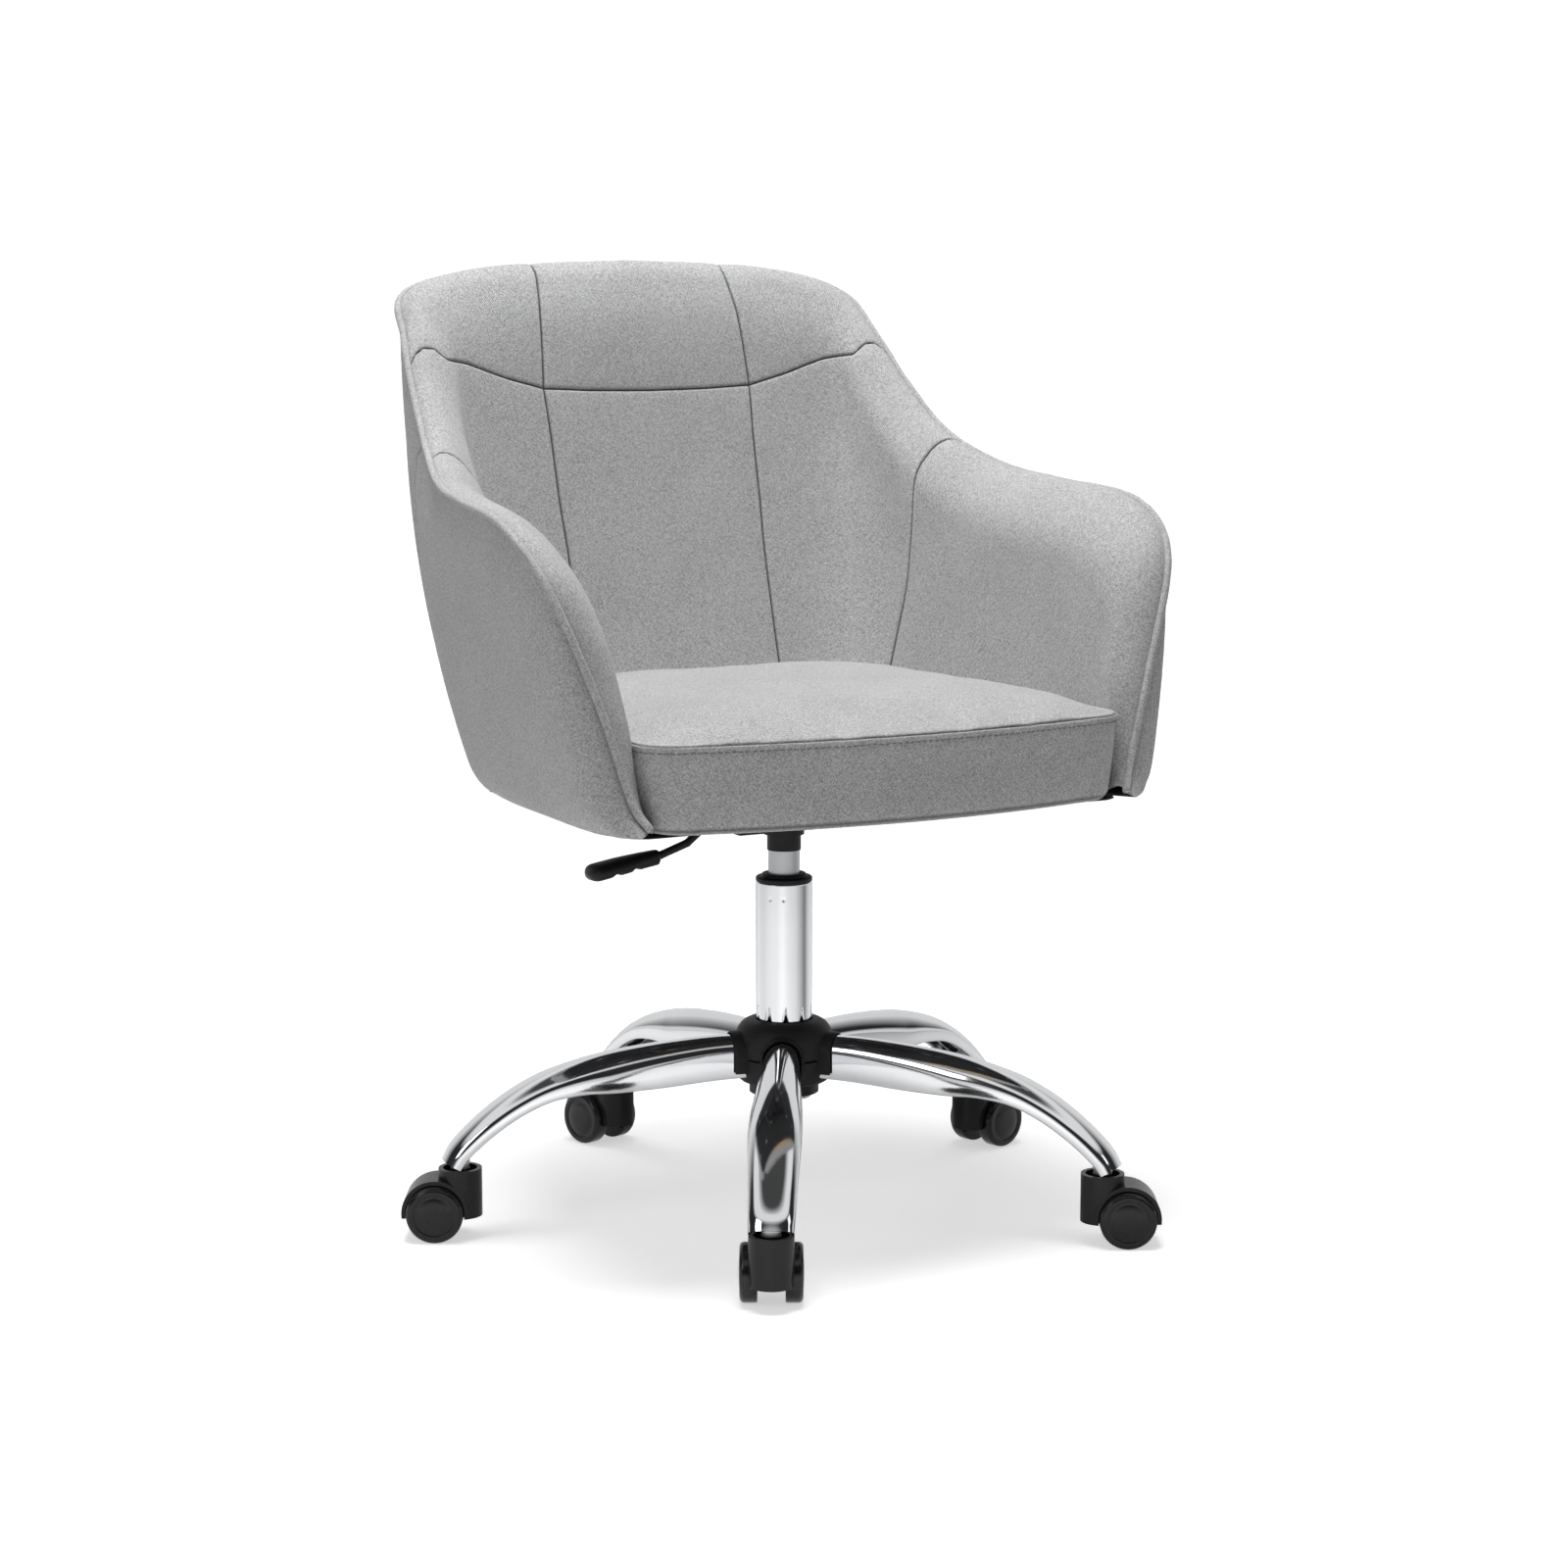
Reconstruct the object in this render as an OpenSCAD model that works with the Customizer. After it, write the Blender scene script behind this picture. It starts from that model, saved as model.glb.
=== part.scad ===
// Tub-style swivel desk chair: five-leg chrome base on twin-wheel casters,
// gas column with a lift lever, and a padded tub seat with a box cushion.
// The chair faces -Y. The origin is on the column's axis at floor level.

/* [Base] */
// Distance from the column's axis to each caster's stem
stem_circle_r = 295; // [270:1:330]
// Turn of the base, from straight ahead towards the lever's side
base_yaw = 30; // [0:1:72]
// Wall of the pressed legs
leg_wall = 1.8; // [1.2:0.1:2.6]
// Wall of the steel hub ring round the column
hub_ring_wall = 6; // [4:0.5:8]
// Reach of the plastic hub cover beyond the hub ring
hub_cover_reach = 12; // [10:0.5:16]

/* [Casters] */
// Wheel diameter
wheel_d = 50; // [44:1:56]
// Width of one wheel
wheel_w = 15.5; // [12:0.5:18]
// Gap between the two wheels of a caster
wheel_gap = 23; // [20:0.5:27]
// Distance from the stem's axis back to the axle
caster_trail = 21; // [18:0.5:25]
// Height of the hood's top over the wheels
hood_over_wheel = 12.5; // [10:0.5:16]
// Stem diameter
stem_d = 11; // [9:0.5:12]
// Axle diameter
axle_d = 6; // [5:0.5:8]

/* [Column] */
// Outer diameter of the chrome column tube
column_d = 50; // [46:1:54]
// Height of the column tube's top edge
column_top = 303; // [290:1:320]
// Outer diameter of the gas cylinder
cylinder_d = 28; // [26:0.5:30]
// Diameter of the fixed piston rod
rod_d = 10; // [8:0.5:12]
// Height that the seat can rise
lift_travel = 100; // [80:1:110]
// Height of the cylinder's top end
cylinder_top = 353; // [350:1:358]

/* [Seat] */
// Height of the tub's underside
underside_z = 388; // [384:1:400]
// Thickness of the plywood seat board
board_t = 12; // [9:1:15]
// Height of the cushion's side above the board
cushion_side_h = 62; // [50:1:75]
// Rise of the cushion's crown above its side
cushion_crown_h = 16; // [8:1:22]
// Depth of the cushion in front of the column's axis, at its corners
cushion_front_y = 208; // [190:1:220]
// Width of the tub, as a share of the drawn one
tub_width = 1; // [0.9:0.01:1.2]
// Height of the tub's rim over the underside, as a share of the drawn one
tub_height = 1; // [0.8:0.01:1.2]
// Radius of the piping round the rim
welt_r = 2.6; // [2:0.1:4]

/* [Mechanism] */
// Size of the seat plate's flange, across and front to back
plate_size = [190, 150]; // [150:1:220]
// Spacing of the plate's bolts, across and front to back
bolt_spacing = [160, 120]; // [100:1:190]
// Lever rod diameter
lever_d = 7; // [6:0.5:8]
// Reach of the lever's paddle end from the column's axis
lever_reach = 192; // [180:1:230]

/* [Clearances] */
// Radial clearance of a shaft that turns or slides
run_gap = 0.05; // [0.02:0.01:0.08]
// Gap between soft pieces that lie side by side
soft_gap = 1; // [0.6:0.1:2]
// Gap between pieces that move past each other
move_gap = 0.5; // [0.3:0.1:1]

/* [Hidden] */
CASTERS = [1, 2, 3, 4, 5];
$fn = 64;
eps = 0.01;

// ---- the base ----
wheel_r = wheel_d / 2;
hood_top = wheel_d + hood_over_wheel;
leg_low_z = hood_top + 4;
column_foot = leg_low_z + 41.5;
column_wall = 2;
hub_ring_r = column_d / 2 + hub_ring_wall;
hub_cover_r = hub_ring_r + hub_cover_reach;
hub_z = [column_foot + 4, column_foot + 64];
cover_split_z = column_foot + 38;
cover_z = [column_foot + 14, column_foot + 71];
socket_wall = 3;
socket_h = 12;
// direction of each caster's trail, from +X towards +Y
trail_turn = [62, 152, 107, 17, -28];
// room that a stem's socket and the leg's wall take, as a share of the leg's reach
tip_room = (stem_d / 2 + run_gap + socket_wall + leg_wall) / (stem_circle_r - hub_ring_r);
// how far each leg station lies out, as a share of the way from the hub ring to the stem
LEG_OUT = [0, 0.15, 0.33, 0.5, 0.62, 0.73, 0.83, 0.92, 0.99, 1 + 0.9 * tip_room, 1 + 1.53 * tip_room];
// height of the leg's top line over its tip, its depth and its width at each station
LEG_RISE = [99.5, 99.5, 96.5, 91, 84, 74.5, 61, 44.5, 28.5, 15.5, 4];
LEG_DEEP = [37, 38, 38, 34, 27, 22, 19.5, 18, 17, 16, 15];
LEG_WIDE = [30, 32, 37, 42, 44, 45, 44, 42, 40, 39, 38];
LEG_TOP = [for (rise = LEG_RISE) leg_low_z + rise];
leg_steps = 18;

// ---- the column ----
bush_z = [215, column_top - 6];
cap_h = 7;
low_cap_h = 12;
cyl_foot = column_foot + 18;
head_z = cyl_foot + low_cap_h + lift_travel + 2;
head_h = 9;
cyl_wall = 3;
taper_h = 22;
taper_in = 0.6;
collar_h = 14;
valve_d = 8;
valve_in = 12;
valve_out = 5;
valve_press = 3.5;

// ---- the mechanism ----
box_size = [120, 62];
box_floor_z = cylinder_top - 1;
plate_t = 3;
sheet_t = 2.5;
fulcrum_x = -25;
lever_z = 364;
boss_r = 6.5;
bolt_d = 6;

// ---- the tub ----
// Thirteen stations run from the middle of the back to the foot of the arm's front.
// Each line gives [x, y, height over the underside] at every station.
RIM = [[0, 326, 456], [140, 328, 450], [226, 312, 430], [243, 272, 390], [253, 228, 344],
       [265, 170, 298], [284, 96, 270], [296, 20, 260], [307, -91, 248], [297, -155, 204],
       [264, -179, 109], [240, -188, 29], [228, -200, 5]];
FOOT = [[0, 236, 0], [110, 232, 0], [180, 208, 0], [222, 165, 0], [246, 110, 0],
        [257, 50, 0], [262, 0, 0], [264, -60, 0], [266, -110, 0], [266, -150, 0],
        [264, -172, 0], [256, -190, 0], [238, -204, 0]];
INNER_RIM = [[0, 288, 432], [136, 288, 426], [194, 274, 406], [205, 248, 368], [213, 214, 322],
             [221, 160, 275], [232, 92, 246], [240, 20, 235], [249, -87, 220], [247, -145, 180],
             [234, -168, 100], [228, -178, 28], [220, -186, 5]];
INNER_FOOT = [[0, 168, 0], [85, 168, 0], [138, 155, 0], [165, 128, 0], [182, 95, 0],
              [194, 55, 0], [204, 15, 0], [211, -30, 0], [217, -80, 0], [220, -120, 0],
              [221, -150, 0], [221, -172, 0], [219, -184, 0]];
// how far the outer and inner faces bow outwards half way down
OUT_BOW = [15, 15, 20, 21, 18, 16, 11, 10, 9, 9, 10, 5, 0];
IN_BOW = [12, 9, 12, 12, 8, 4, 1, 1, 0, 0, 0, 0, 0];
tub_cols = 22;
cover_share = 0.05;
shell_share = 0.30;
layer_gap = 0.012;
rim_drop = 0.05;
crown_rise = 9;

// point on a smooth curve through the points of k, for u from 0 to 1
function spline(k, u) =
    let (n = len(k) - 1, s = min(max(u, 0), 1) * n, i = min(floor(s), n - 1), t = s - i,
         b = k[i], c = k[i + 1],
         a = i > 0 ? k[i - 1] : 2 * b - c,
         d = i + 2 <= n ? k[i + 2] : 2 * c - b)
    (2 * b + (c - a) * t + (2 * a - 5 * b + 4 * c - d) * t * t
     + (3 * b - a - 3 * c + d) * t * t * t) / 2;

function on_tub(k, u) =
    let (p = spline(k, abs(u)), side = u < 0 ? -1 : 1)
    [side * p[0] * tub_width, p[1], underside_z + p[2] * tub_height];

function flat_unit(v) = [v[0], v[1], 0] / max(norm([v[0], v[1]]), eps);

// quadratic through top, middle and foot
function through(a, m, b, v) =
    a * (1 - v) * (1 - 2 * v) + m * 4 * v * (1 - v) + b * v * (2 * v - 1);

// the way out of the tub at station u
function way_out(u) =
    flat_unit(on_tub(RIM, u) + on_tub(FOOT, u) - on_tub(INNER_RIM, u) - on_tub(INNER_FOOT, u));

function outer_face(u, v) =
    let (a = on_tub(RIM, u), b = on_tub(FOOT, u))
    through(a, (a + b) / 2 + way_out(u) * spline(OUT_BOW, abs(u)), b, v);

function inner_face(u, v) =
    let (a = on_tub(INNER_RIM, u), b = on_tub(INNER_FOOT, u))
    through(a, (a + b) / 2 + way_out(u) * spline(IN_BOW, abs(u)), b, v);

// point at share s of the way in from the outer face
function layer(u, v, s) = outer_face(u, v) * (1 - s) + inner_face(u, v) * s;

// rounded top of the rim, from the piping (w = 0) to the inner face (w = 1)
function crown(u, w) =
    let (a = on_tub(RIM, u), b = on_tub(INNER_RIM, u), span = norm(a - b))
    a * (1 - w) + b * w + (way_out(u) * 0.25 + [0, 0, 1]) * min(crown_rise, span / 4) * 4 * w * (1 - w);

U = [for (i = [-tub_cols : tub_cols]) i / tub_cols];

// closed slab between two grids of points with the same rows and columns
module slab(face_a, face_b) {
    rows = len(face_a);
    cols = len(face_a[0]);
    pts = concat([for (r = face_a) each r], [for (r = face_b) each r]);
    n = rows * cols;
    function at(r, c, f) = f * n + r * cols + c;
    quads = [for (r = [0 : rows - 2], c = [0 : cols - 2])
        each [[at(r, c, 0), at(r, c + 1, 0), at(r + 1, c + 1, 0)],
              [at(r, c, 0), at(r + 1, c + 1, 0), at(r + 1, c, 0)],
              [at(r, c, 1), at(r + 1, c + 1, 1), at(r, c + 1, 1)],
              [at(r, c, 1), at(r + 1, c, 1), at(r + 1, c + 1, 1)]]];
    row_ends = [for (c = [0 : cols - 2])
        each [[at(0, c, 0), at(0, c, 1), at(0, c + 1, 1)],
              [at(0, c, 0), at(0, c + 1, 1), at(0, c + 1, 0)],
              [at(rows - 1, c, 0), at(rows - 1, c + 1, 1), at(rows - 1, c, 1)],
              [at(rows - 1, c, 0), at(rows - 1, c + 1, 0), at(rows - 1, c + 1, 1)]]];
    col_ends = [for (r = [0 : rows - 2])
        each [[at(r, 0, 0), at(r + 1, 0, 1), at(r, 0, 1)],
              [at(r, 0, 0), at(r + 1, 0, 0), at(r + 1, 0, 1)],
              [at(r, cols - 1, 0), at(r, cols - 1, 1), at(r + 1, cols - 1, 1)],
              [at(r, cols - 1, 0), at(r + 1, cols - 1, 1), at(r + 1, cols - 1, 0)]]];
    polyhedron(points = pts, faces = concat(quads, row_ends, col_ends), convexity = 10);
}

module ring(outer_r, inner_r, z0, z1) {
    translate([0, 0, z0])
        difference() {
            cylinder(r = outer_r, h = z1 - z0);
            translate([0, 0, -1]) cylinder(r = inner_r, h = z1 - z0 + 2);
        }
}

// turns and moves its children to leg i
module at_leg(i) {
    rotate([0, 0, -90 - base_yaw - 72 * (i - 1)]) children();
}

// moves its children to the stem of caster i, with +X along the trail
module at_caster(i) {
    a = -90 - base_yaw - 72 * (i - 1);
    translate([stem_circle_r * cos(a), stem_circle_r * sin(a), 0])
        rotate([0, 0, trail_turn[i - 1]]) children();
}

// ================= base =================

// Steel ring that the column is pressed into and the legs are welded to
module hub_socket() {
    color("dimgray") ring(hub_ring_r, column_d / 2 + run_gap, hub_z[0], hub_z[1]);
}

function leg_out(u) = hub_ring_r + spline(LEG_OUT, u) * (stem_circle_r - hub_ring_r);

// ring of the open channel: outside from one lower edge over the top to the other
function leg_section(u, inset) =
    let (r = leg_out(u), top = spline(LEG_TOP, u),
         deep = spline(LEG_DEEP, u), w = spline(LEG_WIDE, u) - 2 * inset,
         r2 = leg_out(min(u + 0.02, 1)), r1 = leg_out(max(u - 0.02, 0)),
         t2 = spline(LEG_TOP, min(u + 0.02, 1)), t1 = spline(LEG_TOP, max(u - 0.02, 0)),
         run = [r2 - r1, t2 - t1] / norm([r2 - r1, t2 - t1]), down = [run[1], -run[0]],
         arch = min(w / 2, deep * 0.62) - inset)
    [for (k = [-5 : 5])
        let (q = abs(k) > 4 ? 90 : k * 22.5,
             side = abs(k) > 4 ? sign(k) * w / 2 : w / 2 * sin(q),
             drop = abs(k) > 4 ? deep : inset + arch * (1 - cos(q)))
        [r + down[0] * drop, side, top + down[1] * drop]];

// Pressed chrome leg: a channel, open underneath, that arches down to its caster
module leg() {
    slab([for (i = [0 : leg_steps]) leg_section(i / leg_steps, 0)],
         [for (i = [0 : leg_steps]) leg_section(i / leg_steps, leg_wall)]);
}
module leg_n(i) {
    color("silver") at_leg(i) leg();
}

// Sockets for the caster stems, on cross plates welded between the leg's two walls
module caster_sockets() {
    bore_r = stem_d / 2 + run_gap;
    half = LEG_WIDE[9] / 2 - leg_wall - move_gap;
    color("gray")
        for (i = CASTERS)
            at_leg(i)
                translate([stem_circle_r, 0, leg_low_z])
                    difference() {
                        union() {
                            cylinder(r = bore_r + socket_wall, h = socket_h);
                            translate([-6, -half, socket_h - 3]) cube([8, 2 * half, 3]);
                        }
                        translate([0, 0, -1]) cylinder(r = bore_r, h = socket_h + 2);
                    }
}

// opening in the hub cover round each leg
module leg_gates(room) {
    for (i = CASTERS)
        at_leg(i)
            translate([hub_ring_r / 2, 0, LEG_TOP[0] - LEG_WIDE[1] / 2]) {
                translate([0, -LEG_WIDE[1] / 2 - room, LEG_WIDE[1] / 2 - LEG_DEEP[0] - room])
                    cube([60, LEG_WIDE[1] + 2 * room, LEG_DEEP[0] + room - LEG_WIDE[1] / 2]);
                rotate([0, 90, 0]) cylinder(r = LEG_WIDE[1] / 2 + room, h = 60);
            }
}

// Domed upper half of the plastic hub cover
module hub_cover_upper() {
    bore_r = column_d / 2 + move_gap;
    color([0.09, 0.09, 0.1])
        difference() {
            rotate_extrude()
                polygon([[hub_ring_r + 2, cover_split_z], [hub_cover_r, cover_split_z],
                         [hub_cover_r, cover_z[1] - 19], [hub_cover_r - 3, cover_z[1] - 11],
                         [hub_cover_r - 9, cover_z[1] - 4], [bore_r + 2.5, cover_z[1]],
                         [bore_r, cover_z[1]],
                         [bore_r, hub_z[1] + 1], [hub_ring_r + 2, hub_z[1] + 1]]);
            leg_gates(move_gap);
        }
}

// Lower half of the hub cover, which closes the hub from beneath
module hub_cover_lower() {
    color([0.09, 0.09, 0.1])
        difference() {
            rotate_extrude()
                polygon([[hub_ring_r + 2, cover_z[0]], [hub_cover_r - 6, cover_z[0]],
                         [hub_cover_r - 1, cover_z[0] + 5], [hub_cover_r, cover_split_z - move_gap],
                         [hub_ring_r + 2, cover_split_z - move_gap]]);
            leg_gates(move_gap);
        }
}

// Chrome tube of the column
module column_tube() {
    color("gainsboro") ring(column_d / 2, column_d / 2 - column_wall, column_foot, column_top);
}

// Steel floor of the column, with a hole for the piston rod
module column_floor() {
    color("gray")
        ring(column_d / 2 - column_wall - run_gap, rod_d / 2 + run_gap, column_foot, column_foot + 3);
}

// Plastic bush that guides the gas cylinder
module guide_bush() {
    color("white")
        ring(column_d / 2 - column_wall - run_gap, cylinder_d / 2 + run_gap, bush_z[0], bush_z[1]);
}

// Black ring that closes the column's mouth round the cylinder
module cap_ring() {
    color([0.08, 0.08, 0.08]) {
        ring(column_d / 2, cylinder_d / 2 + 3 * run_gap, column_top, column_top + cap_h - 2);
        ring(cylinder_d / 2 + 5, cylinder_d / 2 + 3 * run_gap, column_top + cap_h - 2, column_top + cap_h);
    }
}

// ---- thrust bearing on the column's floor ----
race_r = 14;
race_t = 2;
ball_r = 2;
floor_top = column_foot + 3;

module lower_race() {
    color("silver") ring(race_r, rod_d / 2 + move_gap, floor_top, floor_top + race_t);
}

// Ring of twelve balls, each a separate solid
module bearing_balls() {
    color("silver")
        for (i = [0 : 11])
            rotate([0, 0, 30 * i])
                translate([race_r - 4, 0, floor_top + race_t + ball_r]) sphere(r = ball_r, $fn = 24);
}

module upper_race() {
    z = floor_top + race_t + 2 * ball_r + run_gap;
    color("silver") ring(race_r, rod_d / 2, z, z + race_t);
}

// ================= piston =================

// Polished rod that stays at its height, with the piston on its top end
module piston_rod() {
    color("silver") {
        translate([0, 0, column_foot - 8]) cylinder(d = rod_d, h = head_z - column_foot + 9);
        translate([0, 0, head_z]) cylinder(r = cylinder_d / 2 - cyl_wall - run_gap, h = head_h);
    }
}

// Clip in the rod's groove under the column's floor
module retaining_clip() {
    color("silver") ring(rod_d / 2 + 4, rod_d / 2, column_foot - 4, column_foot - 2);
}

// Rubber ring that softens the lowest stop
module rubber_bumper() {
    z = floor_top + 2 * race_t + 2 * ball_r + 2 * run_gap;
    color([0.1, 0.1, 0.1]) ring(rod_d / 2 + 3, rod_d / 2 + run_gap, z, cyl_foot - 1);
}

// ================= seat =================

taper_r = cylinder_d / 2 - taper_in;
taper_z = cylinder_top - taper_h;

// radius of the cylinder's taper at height z
function taper_at(z) = cylinder_d / 2 - taper_in * (z - taper_z) / taper_h;

// Gas cylinder: hollow, with a bored lower cap and a tapered top that holds the release pin
module gas_cylinder() {
    color("lightgray")
        difference() {
            union() {
                translate([0, 0, cyl_foot]) cylinder(d = cylinder_d, h = taper_z - cyl_foot);
                translate([0, 0, taper_z]) cylinder(r1 = cylinder_d / 2, r2 = taper_r, h = taper_h);
            }
            translate([0, 0, cyl_foot - 1]) cylinder(r = rod_d / 2 + run_gap, h = low_cap_h + 2);
            translate([0, 0, cyl_foot + low_cap_h])
                cylinder(r = cylinder_d / 2 - cyl_wall, h = taper_z - 8 - cyl_foot - low_cap_h);
            translate([0, 0, cylinder_top - valve_in - valve_press - 2.5])
                cylinder(r = valve_d / 2 + run_gap, h = valve_in + valve_press + 4);
        }
}

// Pin in the cylinder's top that lets the gas through when it is pressed
module valve_pin() {
    color("dimgray")
        translate([0, 0, cylinder_top - valve_in]) cylinder(d = valve_d, h = valve_in + valve_out);
}

// Black ring on the cylinder just under the socket
module taper_collar() {
    color([0.08, 0.08, 0.08]) ring(cylinder_d / 2 + 1, cylinder_d / 2, taper_z, taper_z + collar_h - 0.2);
}

// Flared steel socket of the mechanism, with a tapered bore
module seat_socket() {
    z0 = taper_z + collar_h;
    h = box_floor_z - z0;
    color([0.1, 0.1, 0.1])
        translate([0, 0, z0])
            difference() {
                cylinder(r = cylinder_d / 2 + 4, h = h);
                translate([0, 0, -eps])
                    cylinder(r1 = taper_at(z0) + run_gap, r2 = taper_at(box_floor_z) + run_gap,
                             h = h + 2 * eps);
            }
}

// Pressed steel seat plate: a flange under the board and a box that holds the lever's pivot
module seat_plate() {
    box_h = underside_z - plate_t - box_floor_z;
    color([0.12, 0.12, 0.13])
        difference() {
            union() {
                translate([-plate_size[0] / 2, -plate_size[1] / 2, underside_z - plate_t])
                    cube([plate_size[0], plate_size[1], plate_t]);
                translate([-box_size[0] / 2, -box_size[1] / 2, box_floor_z])
                    cube([box_size[0], box_size[1], box_h + eps]);
            }
            difference() {
                translate([-box_size[0] / 2 + sheet_t, -box_size[1] / 2 + sheet_t, box_floor_z + sheet_t])
                    cube([box_size[0] - 2 * sheet_t, box_size[1] - 2 * sheet_t, box_h - sheet_t]);
                for (s = [-1, 1])
                    translate([fulcrum_x - 8, s * (boss_r + 2.5) - 1.25, box_floor_z])
                        cube([16, 2.5, lever_z + 8 - box_floor_z]);
            }
            translate([0, 0, box_floor_z - 1])
                cylinder(r = taper_r + 0.1, h = sheet_t + 2);
            translate([-box_size[0] / 2 - 1, -lever_d / 2 - 2, box_floor_z + 4])
                cube([sheet_t + 2, lever_d + 4, box_h - 8]);
            translate([fulcrum_x, 0, lever_z])
                rotate([90, 0, 0]) cylinder(r = 3, h = 40, center = true);
            at_plate_bolts() translate([0, 0, underside_z - plate_t - 1])
                cylinder(d = bolt_d + 0.6, h = plate_t + 2);
        }
}

module at_plate_bolts() {
    for (x = [-1, 1], y = [-1, 1])
        translate([x * bolt_spacing[0] / 2, y * bolt_spacing[1] / 2, 0]) children();
}

// Pin that the lever turns on, held in the box's two cheeks
module pivot_pin() {
    color("silver")
        translate([fulcrum_x, 0, lever_z])
            rotate([90, 0, 0]) cylinder(r = 3 - eps, h = 2 * boss_r + 10, center = true);
}

// round bar from p to q, with a slightly fuller knuckle at q
module bar(p, q, d) {
    v = q - p;
    translate(p)
        rotate([0, acos(v[2] / norm(v)), atan2(v[1], v[0])]) cylinder(d = d, h = norm(v));
    translate(q) sphere(d = d + 0.3);
}

paddle_x = -lever_reach + 66;
LEVER = [[fulcrum_x - 3, 0, lever_z], [-74, 0, lever_z - 3], [-96, 0, 344], [paddle_x, 0, 334]];

// Bent steel rod of the lift lever, with its pivot boss and the nose over the pin
module lever_rod() {
    nose_z = cylinder_top + valve_out + 0.3 + 3;
    color([0.08, 0.08, 0.08])
        difference() {
            union() {
                translate([fulcrum_x, 0, lever_z])
                    rotate([90, 0, 0]) cylinder(r = boss_r, h = 2 * boss_r, center = true);
                for (i = [0 : 2]) bar(LEVER[i], LEVER[i + 1], lever_d);
                translate([fulcrum_x, -4, nose_z - 2.5]) cube([-fulcrum_x, 8, 5]);
                translate([0, 0, nose_z]) rotate([90, 0, 0]) cylinder(r = 3, h = 8, center = true);
            }
            translate([fulcrum_x, 0, lever_z])
                rotate([90, 0, 0]) cylinder(r = 3 + run_gap, h = 40, center = true);
        }
}

// Moulded paddle on the rod's end, wider and flatter towards its tip
module lever_paddle() {
    color([0.06, 0.06, 0.06])
        difference() {
            hull() {
                translate([paddle_x - 2, 0, 334])
                    rotate([0, 90, 0]) cylinder(r = 6.5, h = 4, $fn = 32);
                translate([paddle_x - 30, 0, 332]) scale([1, 1.6, 0.75]) sphere(r = 9, $fn = 32);
                translate([-lever_reach + 8, 0, 326]) scale([1, 2, 0.6]) sphere(r = 8, $fn = 32);
            }
            bar(LEVER[2], LEVER[3], lever_d + 2 * eps);
        }
}

// Bolts from under the plate into the tee nuts
module plate_bolts() {
    color("dimgray")
        at_plate_bolts() {
            translate([0, 0, underside_z - plate_t - 4]) cylinder(d = 10, h = 4, $fn = 6);
            translate([0, 0, underside_z - plate_t - 4]) cylinder(d = bolt_d, h = plate_t + 4 + board_t - 1);
        }
}

nut_r = 4;

// Tee nuts pressed into the board from above
module tee_nuts() {
    color("silver")
        at_plate_bolts()
            difference() {
                union() {
                    translate([0, 0, underside_z + 2]) cylinder(r = nut_r, h = board_t - 3.5);
                    translate([0, 0, underside_z + board_t - 1.5]) cylinder(r = 8, h = 1.5);
                }
                translate([0, 0, underside_z]) cylinder(d = bolt_d + 2 * eps, h = board_t + 1);
            }
}

strap_y = [-112, 95];
strap_x = [150, 226];
strap_w = 28;

// Two steel straps under the board that tie the tub's two sides to it
module cross_straps() {
    color("gray")
        for (y = strap_y)
            translate([-strap_end(), y - strap_w / 2, underside_z - plate_t])
                cube([2 * strap_end(), strap_w, plate_t]);
}
function strap_end() = (strap_x[1] + 10) * tub_width;

// Screws through the straps into the board and the tub shell
module strap_screws() {
    color("dimgray")
        for (y = strap_y, x = strap_x, s = [-1, 1])
            translate([s * x * tub_width, y, underside_z - plate_t - 2.5]) {
                cylinder(d = 10, h = 2.5);
                cylinder(d = 4, h = 12);
            }
}

// outline of the tub's inside at height z, inset by gap, from one arm front to the other
function well_line(z, gap, u_end) =
    [for (i = [-tub_cols : tub_cols])
        let (u = u_end * i / tub_cols,
             a = on_tub(INNER_RIM, u), b = on_tub(INNER_FOOT, u),
             v = (a[2] - z) / (a[2] - b[2]), p = inner_face(u, v) - way_out(u) * gap)
        [p[0], p[1]]];

// outline of the cushion or board: the well's line, then round corners and a bowed front
function seat_outline(z, gap, front_y, bow, corner) =
    let (line = well_line(z, gap, 9.2 / 12), side_x = line[0][0], n = 6)
    concat(
        line,
        [for (i = [0 : n]) let (q = 90 * i / n)
            [-side_x - corner * (1 - cos(q)), -front_y + corner * (1 - sin(q))]],
        [for (i = [1 : 9]) let (t = 1 - i / 5)
            [(-side_x - corner) * t, -front_y - bow * (1 - t * t)]],
        [for (i = [0 : n]) let (q = 90 * (1 - i / n))
            [side_x + corner * (1 - cos(q)), -front_y + corner * (1 - sin(q))]]);

board_inset = 6;
function board_outline(inset) =
    seat_outline(underside_z + 1, inset, cushion_front_y - 8 - inset, 16, 20);

// Plywood board that carries the cushion
module seat_board() {
    color("burlywood")
        difference() {
            translate([0, 0, underside_z])
                linear_extrude(board_t)
                    polygon(board_outline(board_inset));
            at_plate_bolts() {
                translate([0, 0, underside_z - 1]) cylinder(r = nut_r, h = board_t + 2);
                translate([0, 0, underside_z + board_t - 1.5]) cylinder(r = 8, h = 2);
            }
            strap_holes();
        }
}

module strap_holes() {
    for (y = strap_y, s = [-1, 1])
        translate([s * strap_x[0] * tub_width, y, underside_z - 1]) cylinder(d = 4, h = 10);
}

cushion_foot = underside_z + 1;
cushion_side = underside_z + board_t + cushion_side_h;
cushion_mid = [0, -20];
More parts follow.
